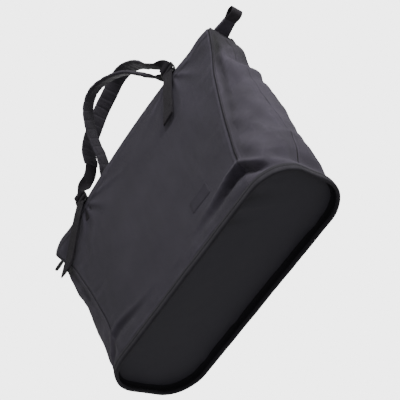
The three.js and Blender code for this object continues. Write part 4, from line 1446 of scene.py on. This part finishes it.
def strap_tail(centre_x, side, length, angle, end_curl):
    """Leaves the buckle and hangs in a slight curve, its slanted end turned over and sewn."""
    down = np.array([0, side * math.sin(SLOPE), -math.cos(SLOPE)])
    outward = shell_normal(side)
    along = -math.sin(angle) * X_AXIS + math.cos(angle) * down
    across = math.cos(angle) * X_AXIS + math.sin(angle) * down
    root = np.array([centre_x, side * (BUCKLE_Y + 2.4), 407.0]) + 0.8 * outward
    count = 64
    reach = np.linspace(1.5, length, count)
    curl = (0.9 * np.sin(reach / 26.0) * rise(8, 30, reach)
            + end_curl * rise(length - 42, length, reach))

    def midline(l):
        return root + l[:, None] * along + np.interp(l, reach, curl)[:, None] * outward

    def slant(l, u):
        """Shift along the tail that cuts its end at a slant."""
        return (rise(length - 28, length, l) * -u * 0.55)[..., None] * along

    path = midline(reach)
    wide = np.tile(across, (count, 1))
    normal = np.cross(unit(np.gradient(path, axis=0)), wide)
    normal *= np.sign(normal @ outward)[:, None]
    section = web_section(WEB_HALF, 1.5)
    rings = ribbon_rings(path, wide, normal, section) + slant(reach[:, None], section[:, 0])
    parts = [sweep(rings, columns(section[:, 0], reach[:, None]))]
    # the turned layer over the end
    layer = np.linspace(length - 24, length - 1.0, 16)
    section = web_section(WEB_HALF - 0.25, 1.3)
    lifted = section + np.array([0, 1.5])
    near = np.clip(np.searchsorted(reach, layer), 0, count - 1)
    rings = (ribbon_rings(midline(layer), wide[:16], normal[near], lifted)
             + slant(layer[:, None], section[:, 0]))
    parts.append(sweep(rings, columns(section[:, 0], layer[:, None] + 7),
                       np.full(rings.shape[:2], 0.25)))
    # zigzag rows
    step = np.arange(15)
    u = -10.5 + 21 * step / 14
    for row in (length - 20, length - 14.5, length - 9.0):
        l = row + np.where(step % 2, 1.6, -1.6)
        zigzag = midline(l) + u[:, None] * across + slant(l, u) + 2.3 * outward
        parts.append(stitches(resample(zigzag, 90), outward, pitch=2.9, slot=1))
    return parts


for wall, side in (("front", -1), ("back", 1)):
    for end, sx in (("left", -1), ("right", 1)):
        tag = wall + "_" + end
        centre_x = sx * STRAP_X
        piece("ladder_lock_" + tag, buckle(centre_x, side), [PLASTIC], "buckle_plastic",
              "buckle_" + tag, body=wall + "_wall", sharp=55)
        piece("anchor_strap_" + tag, anchor(centre_x, side), [WEB, THREAD], "webbing",
              "anchor_webbing_" + tag, body=wall + "_wall")
        if end == "left":
            tail = dict(length=148.0 if wall == "front" else 138.0, angle=math.radians(38),
                        end_curl=1.6)
        else:
            tail = dict(length=112.0, angle=math.radians(23), end_curl=1.0)
        piece("strap_end_" + tag, strap_tail(centre_x, side, **tail), [WEB, THREAD], "webbing",
              "strap_tail_" + tag, body="tail_" + tag)

# ---- handles ----
# by wall: side, lean in degrees, where the sleeve starts and ends along the handle, and the
# handle's curve from the right buckle to the left
HANDLES = {
    "front": (-1, 13.0, (0.20, 0.85), [
        (152, -23.7, 424), (150.5, -23, 433), (141, -19, 454), (122.5, -11.8, 491),
        (92, 3, 556), (60, 11.6, 592), (32, 13.2, 599), (2.7, 10.6, 588), (-30.7, 7.7, 576),
        (-58.5, 3.6, 557.5), (-85, -0.5, 537), (-100.5, -4.5, 512), (-109, -6.5, 479),
        (-123, -10, 457), (-143, -18.5, 441), (-151, -23, 431), (-152, -23.7, 424)]),
    "back": (1, -28.0, (0.16, 0.86), [
        (152, 23.7, 424), (150, 22.3, 431), (138, 13.5, 446.5), (116, -1, 465),
        (99.3, -17.7, 494.5), (81, -31, 519.5), (44, -43, 543), (10, -48, 551.5),
        (-20.7, -44.2, 544.5), (-44.6, -34, 525), (-66.4, -17.5, 495.7),
        (-80.5, -2.4, 467.4), (-99, 8.5, 447), (-125, 16, 443), (-145, 21.5, 438),
        (-151.3, 23.3, 431), (-152, 23.7, 424)]),
}
QUILT_PITCH = 19.0
SLEEVE_HALF = 3.75          # half thickness of the sleeve
FOAM_SECTION = np.array([
    (11.8, 0.0), (11.4, 0.4), (10.8, 0.5), (0, 0.55), (-10.8, 0.5), (-11.4, 0.4), (-11.8, 0),
    (-11.4, -0.4), (-10.8, -0.5), (0, -0.5), (10.8, -0.5), (11.4, -0.4)])


def rotate(v, axis, angle):
    return (v * math.cos(angle) + np.cross(axis, v) * math.sin(angle)
            + axis * (axis @ v) * (1 - math.cos(angle)))


def hook(end, side):
    """Points and normals of the strap round its bar, from the outer side under to the inner."""
    x, y, radius = end * STRAP_X, side * BUCKLE_Y, 3.1
    points = [(x, y + side * (radius + 0.1), TOP_BAR_Z + 8.0),
              (x, y + side * (radius + 0.15), TOP_BAR_Z + 4.0)]
    normals = [(0, side, 0.0)] * 2
    for i in range(9):
        turn = math.pi * i / 8
        normal = (0, side * math.cos(turn), -math.sin(turn))
        points.append((x, y + radius * normal[1], TOP_BAR_Z + radius * normal[2]))
        normals.append(normal)
    return np.array(points), np.array(normals)


def quilting(share, rows):
    """Nearness to a quilting line, 1 on it, and the padding's swell there."""
    edge = abs((share * rows) % 1.0 - 0.5) * 2
    line = math.exp(-((1 - edge) * QUILT_PITCH / 2 / 1.5) ** 2)
    return line, 1 - 0.26 * line + 0.10 * (1 - edge ** 2)


class Handle:
    """One handle; s runs 0..1 along its curve, share 0..1 along its sleeve."""

    def __init__(self, wall):
        self.wall = wall
        self.side, lean, self.sleeve_ends, path = HANDLES[wall]
        self.curve = centripetal(path, 80)
        self.distance = run_length(self.curve)
        self.length = self.distance[-1]
        lean = math.radians(lean)
        self.across = np.array([0, math.cos(lean), -math.sin(lean)])
        start, end = self.sleeve_ends
        self.sleeve_length = (end - start) * self.length
        self.rows = round(self.sleeve_length / QUILT_PITCH)

    def station(self, s):
        """Point, direction, width direction and normal."""
        l = s * self.length
        point, before, after = at_distance(self.curve, self.distance,
                                           [l, max(l - 0.6, 0), min(l + 0.6, self.length)])
        along = unit(after - before)
        # the strap turns from level at its buckles to the handle's lean
        turned = float(rise(3, 40, min(s, 1 - s) * self.length))
        level = unit(X_AXIS - along * (X_AXIS @ along))
        sign = self.side if s <= 0.5 else -self.side
        leaning = unit(self.across - along * (self.across @ along)) * sign
        angle = math.atan2(np.cross(level, leaning) @ along, level @ leaning) * turned
        wide = unit(rotate(level, along, angle)) * sign
        if self.wall == "back":     # the slack strap rolls over a little near its right buckle
            wide = rotate(wide, along, math.radians(28) * bump(0.112, 0.034, s))
        return point, along, wide, unit(np.cross(wide, along))

    def sleeve_station(self, share):
        start, end = self.sleeve_ends
        return self.station(start + (end - start) * share)

    def strap_station(self, s):
        """Middle of the strap, which lies on the inner side of the curve between its ends."""
        point, _, wide, normal = self.station(s)
        drop = 0.85 * float(rise(4, 50, min(s, 1 - s) * self.length))
        return point - drop * normal, wide, normal

    def strap(self):
        """Hook round the bar, along the curve, hook again, with a box stitch at each end."""
        start, end = self.sleeve_ends
        stations = np.concatenate([np.linspace(0.004, start, 34),
                                   np.linspace(start, end, 60)[1:-1],
                                   np.linspace(end, 0.996, 34)])
        path, wide, normal = (np.array(q) for q in zip(*map(self.strap_station, stations)))
        hooks = []
        for sx, i in ((1, 0), (-1, -1)):
            points, normals = hook(sx, self.side)
            hook_wide = X_AXIS * (1.0 if X_AXIS @ wide[i] > 0 else -1.0)
            flip = 1.0 if normals[-1] @ normal[i] > 0 else -1.0
            hooks.append((points, np.tile(hook_wide, (len(points), 1)), normals * flip))
        joined = [np.concatenate([first, middle, last[::-1]]) for first, middle, last
                  in zip(hooks[0], (path, wide, normal), hooks[1])]
        parts = [ribbon(*joined, web_section(WEB_HALF, 1.8))]
        near, far = 26 / self.length, 44 / self.length
        for s0, s1 in ((near, far), (1 - far, 1 - near)):
            up = self.station((s0 + s1) / 2)[3]
            for face in (1, -1):
                for u0, u1 in ((-9.5, 9.5), (9.5, -9.5), (-9.5, -9.5), (9.5, 9.5)):
                    line = []
                    for k in np.linspace(0, 1, 9):
                        p, w, n = self.strap_station(s0 + (s1 - s0) * k)
                        line.append(p + (u0 + (u1 - u0) * k) * w + face * 0.85 * n)
                    parts.append(stitches(line, face * up, pitch=2.9, length=2.2, radius=0.34,
                                          slot=1))
        return parts

    def sleeve(self):
        """Padded and quilted across; the cloth gathers more on one face."""
        around = 40
        count = int(self.sleeve_length / 1.5)
        oval_a, oval_b = oval(around, 0.38, 0.75)
        rings, wear, cloth = [], [], []
        for i in range(count + 1):
            share = i / count
            point, _, wide, normal = self.sleeve_station(share)
            l = share * self.sleeve_length
            line, puff = quilting(share, self.rows)
            near = min(share, 1 - share) * self.sleeve_length
            puff *= 0.62 + 0.38 * float(rise(0, 9, near))
            a = 16.6 * (1 - 0.022 * line) * (0.93 + 0.07 * float(rise(0, 14, near))) * oval_a
            b = SLEEVE_HALF * puff * oval_b * (1 - 0.45 * limit((np.abs(a) - 12.8) / 4.0) ** 2)
            under = b < 0
            b = b - 0.35 * bump(12.9, 0.8, np.abs(a)) * np.sign(b)      # edge stitch channel
            gathers = noise(a / 9.0, l / 6.0, 3.0 + self.side + under * 7.0, 71)
            b = b + 0.45 * gathers * (0.5 + 0.5 * under)
            rings.append(point + a[:, None] * wide + b[:, None] * normal)
            wear.append(line ** 2 * (np.abs(a) < 15) + 0.5 * rise(14.5, 16.4, np.abs(a)))
            cloth.append(columns(a, l))

        def turned_in(i, out):
            """Two short rings that close in on the strap."""
            point, along, _, _ = self.sleeve_station(i)
            inward = rings[-i] - point
            return [point + inward * 0.97 + out * along * 0.8,
                    point + inward * 0.86 + out * along * 1.0]

        rings = turned_in(0, -1)[::-1] + rings + turned_in(1, 1)
        outer, inner = np.full(around, 0.6), np.full(around, 0.5)
        wear = [inner, outer] + wear + [outer, inner]
        cloth = [cloth[0]] * 2 + cloth + [cloth[-1]] * 2
        return [sweep(rings, np.array(cloth), np.array(wear))] + self.sleeve_stitching()

    def sleeve_stitching(self):
        parts = []
        for i in range(1, self.rows):
            point, _, wide, normal = self.sleeve_station(i / self.rows)
            for face in (1, -1):
                line = (point + np.linspace(-12.0, 12.0, 9)[:, None] * wide
                        + face * (SLEEVE_HALF * 0.74 + 0.08) * normal)
                parts.append(stitches(line, face * normal, pitch=3.0, length=2.2, radius=0.30,
                                      slot=1))
        for edge in (-1, 1):
            for face in (1, -1):
                line, normals = [], []
                for share in np.linspace(0.012, 0.988, 160):
                    point, _, wide, normal = self.sleeve_station(share)
                    puff = quilting(share, self.rows)[1]
                    line.append(point + edge * 12.9 * wide + face * (3.35 * puff - 0.1) * normal)
                    normals.append(face * normal)
                parts.append(stitches(line, normals, radius=0.28, slot=1))
        return parts

    def foam(self):
        stations = [self.sleeve_station(share) for share in np.linspace(0.01, 0.99, 60)]
        path, _, wide, normal = (np.array(q) for q in zip(*stations))
        return ribbon(path + 0.95 * normal, wide, normal, FOAM_SECTION)


for wall in HANDLES:
    handle = Handle(wall)
    body = wall + "_handle"
    piece("handle_strap_" + wall, handle.strap(), [WEB, THREAD], "webbing",
          "handle_webbing_" + wall, body=body)
    piece("handle_sleeve_cloth_" + wall, handle.sleeve(), [SLEEVE, THREAD], "handle_canvas",
          "handle_sleeve_" + wall, body=body, sharp=70)
    piece("handle_foam_core_" + wall, [handle.foam()], [FOAM], "foam", "handle_foam_" + wall,
          body=body)


# ---- stage, in metres: a floor seen from above only, soft studio light ----
def floor_material():
    made = bpy.data.materials.new("studio_floor")
    add = node_adder(made)
    lit = add("ShaderNodeAddShader", add("ShaderNodeBsdfDiffuse", Color=WHITE),
              add("ShaderNodeEmission", Color=WHITE, Strength=2.4))
    from_below = add("ShaderNodeNewGeometry").outputs["Backfacing"]
    mix = add("ShaderNodeMixShader", from_below, lit, add("ShaderNodeBsdfTransparent"))
    add("ShaderNodeOutputMaterial", mix)
    return made


def stage_floor():
    """Seen by the camera only; it neither lights nor shades the tote."""
    half, z = 45, -0.0006
    mesh = bpy.data.meshes.new("floor")
    mesh.from_pydata([(-half, -half, z), (half, -half, z), (half, half, z), (-half, half, z)],
                     [], [(0, 1, 2, 3)])
    floor = bpy.data.objects.new("floor", mesh)
    mesh.materials.append(floor_material())
    scene.collection.objects.link(floor)
    floor.visible_diffuse = False
    floor.visible_glossy = False
    floor.visible_transmission = False
    floor.visible_shadow = False
    floor.visible_volume_scatter = False


def studio_world():
    """Bright white to the camera, dimmer as light."""
    world = bpy.data.worlds.new("studio")
    scene.world = world
    add = node_adder(world)
    mix = add("ShaderNodeMixShader", add("ShaderNodeLightPath").outputs["Is Camera Ray"],
              add("ShaderNodeBackground", Color=WHITE, Strength=0.40),
              add("ShaderNodeBackground", Color=WHITE, Strength=4.2))
    add("ShaderNodeOutputWorld", mix)


def area_light(name, direction, power, size, distance=2.2, target=(0, 0, 0.25)):
    """A disk that shines on the target from the given direction."""
    light = bpy.data.lights.new(name, "AREA")
    light.energy = power
    light.shape = "DISK"
    light.size = size
    made = add_object(name, light)
    away = Vector(direction).normalized()
    made.location = Vector(target) + away * distance
    made.rotation_mode = "QUATERNION"
    made.rotation_quaternion = away.to_track_quat("Z", "Y")


def add_camera():
    """Below the floor, at the front right, looking up at the base."""
    camera = bpy.data.cameras.new("camera")
    camera.sensor_width = 36
    camera.lens = 75.6
    camera.sensor_fit = "HORIZONTAL"
    camera.clip_start, camera.clip_end = 0.05, 200
    made = add_object("camera", camera)
    right = (0.5581377, 0.7293974, -0.3955525)
    up = (0.7558526, -0.2502798, 0.6050180)
    back = (0.3422998, -0.6366628, -0.6910075)
    place = (0.52523, -0.88589, -0.79031)
    made.matrix_world = Matrix([*zip(right, up, back, place), (0, 0, 0, 1)])
    scene.camera = made


stage_floor()
studio_world()
area_light("key", direction=(0.90, -0.22, 0.26), power=20, size=0.8, distance=1.55,
           target=(0.2, 0, 0.14))
area_light("rake", direction=(0.72, -0.66, 0.55), power=6.5, size=0.4, distance=1.2,
           target=(0.2, -0.05, 0.22))
area_light("rim_light", direction=(-0.55, 0.75, 0.55), power=15, size=1.2)
add_camera()
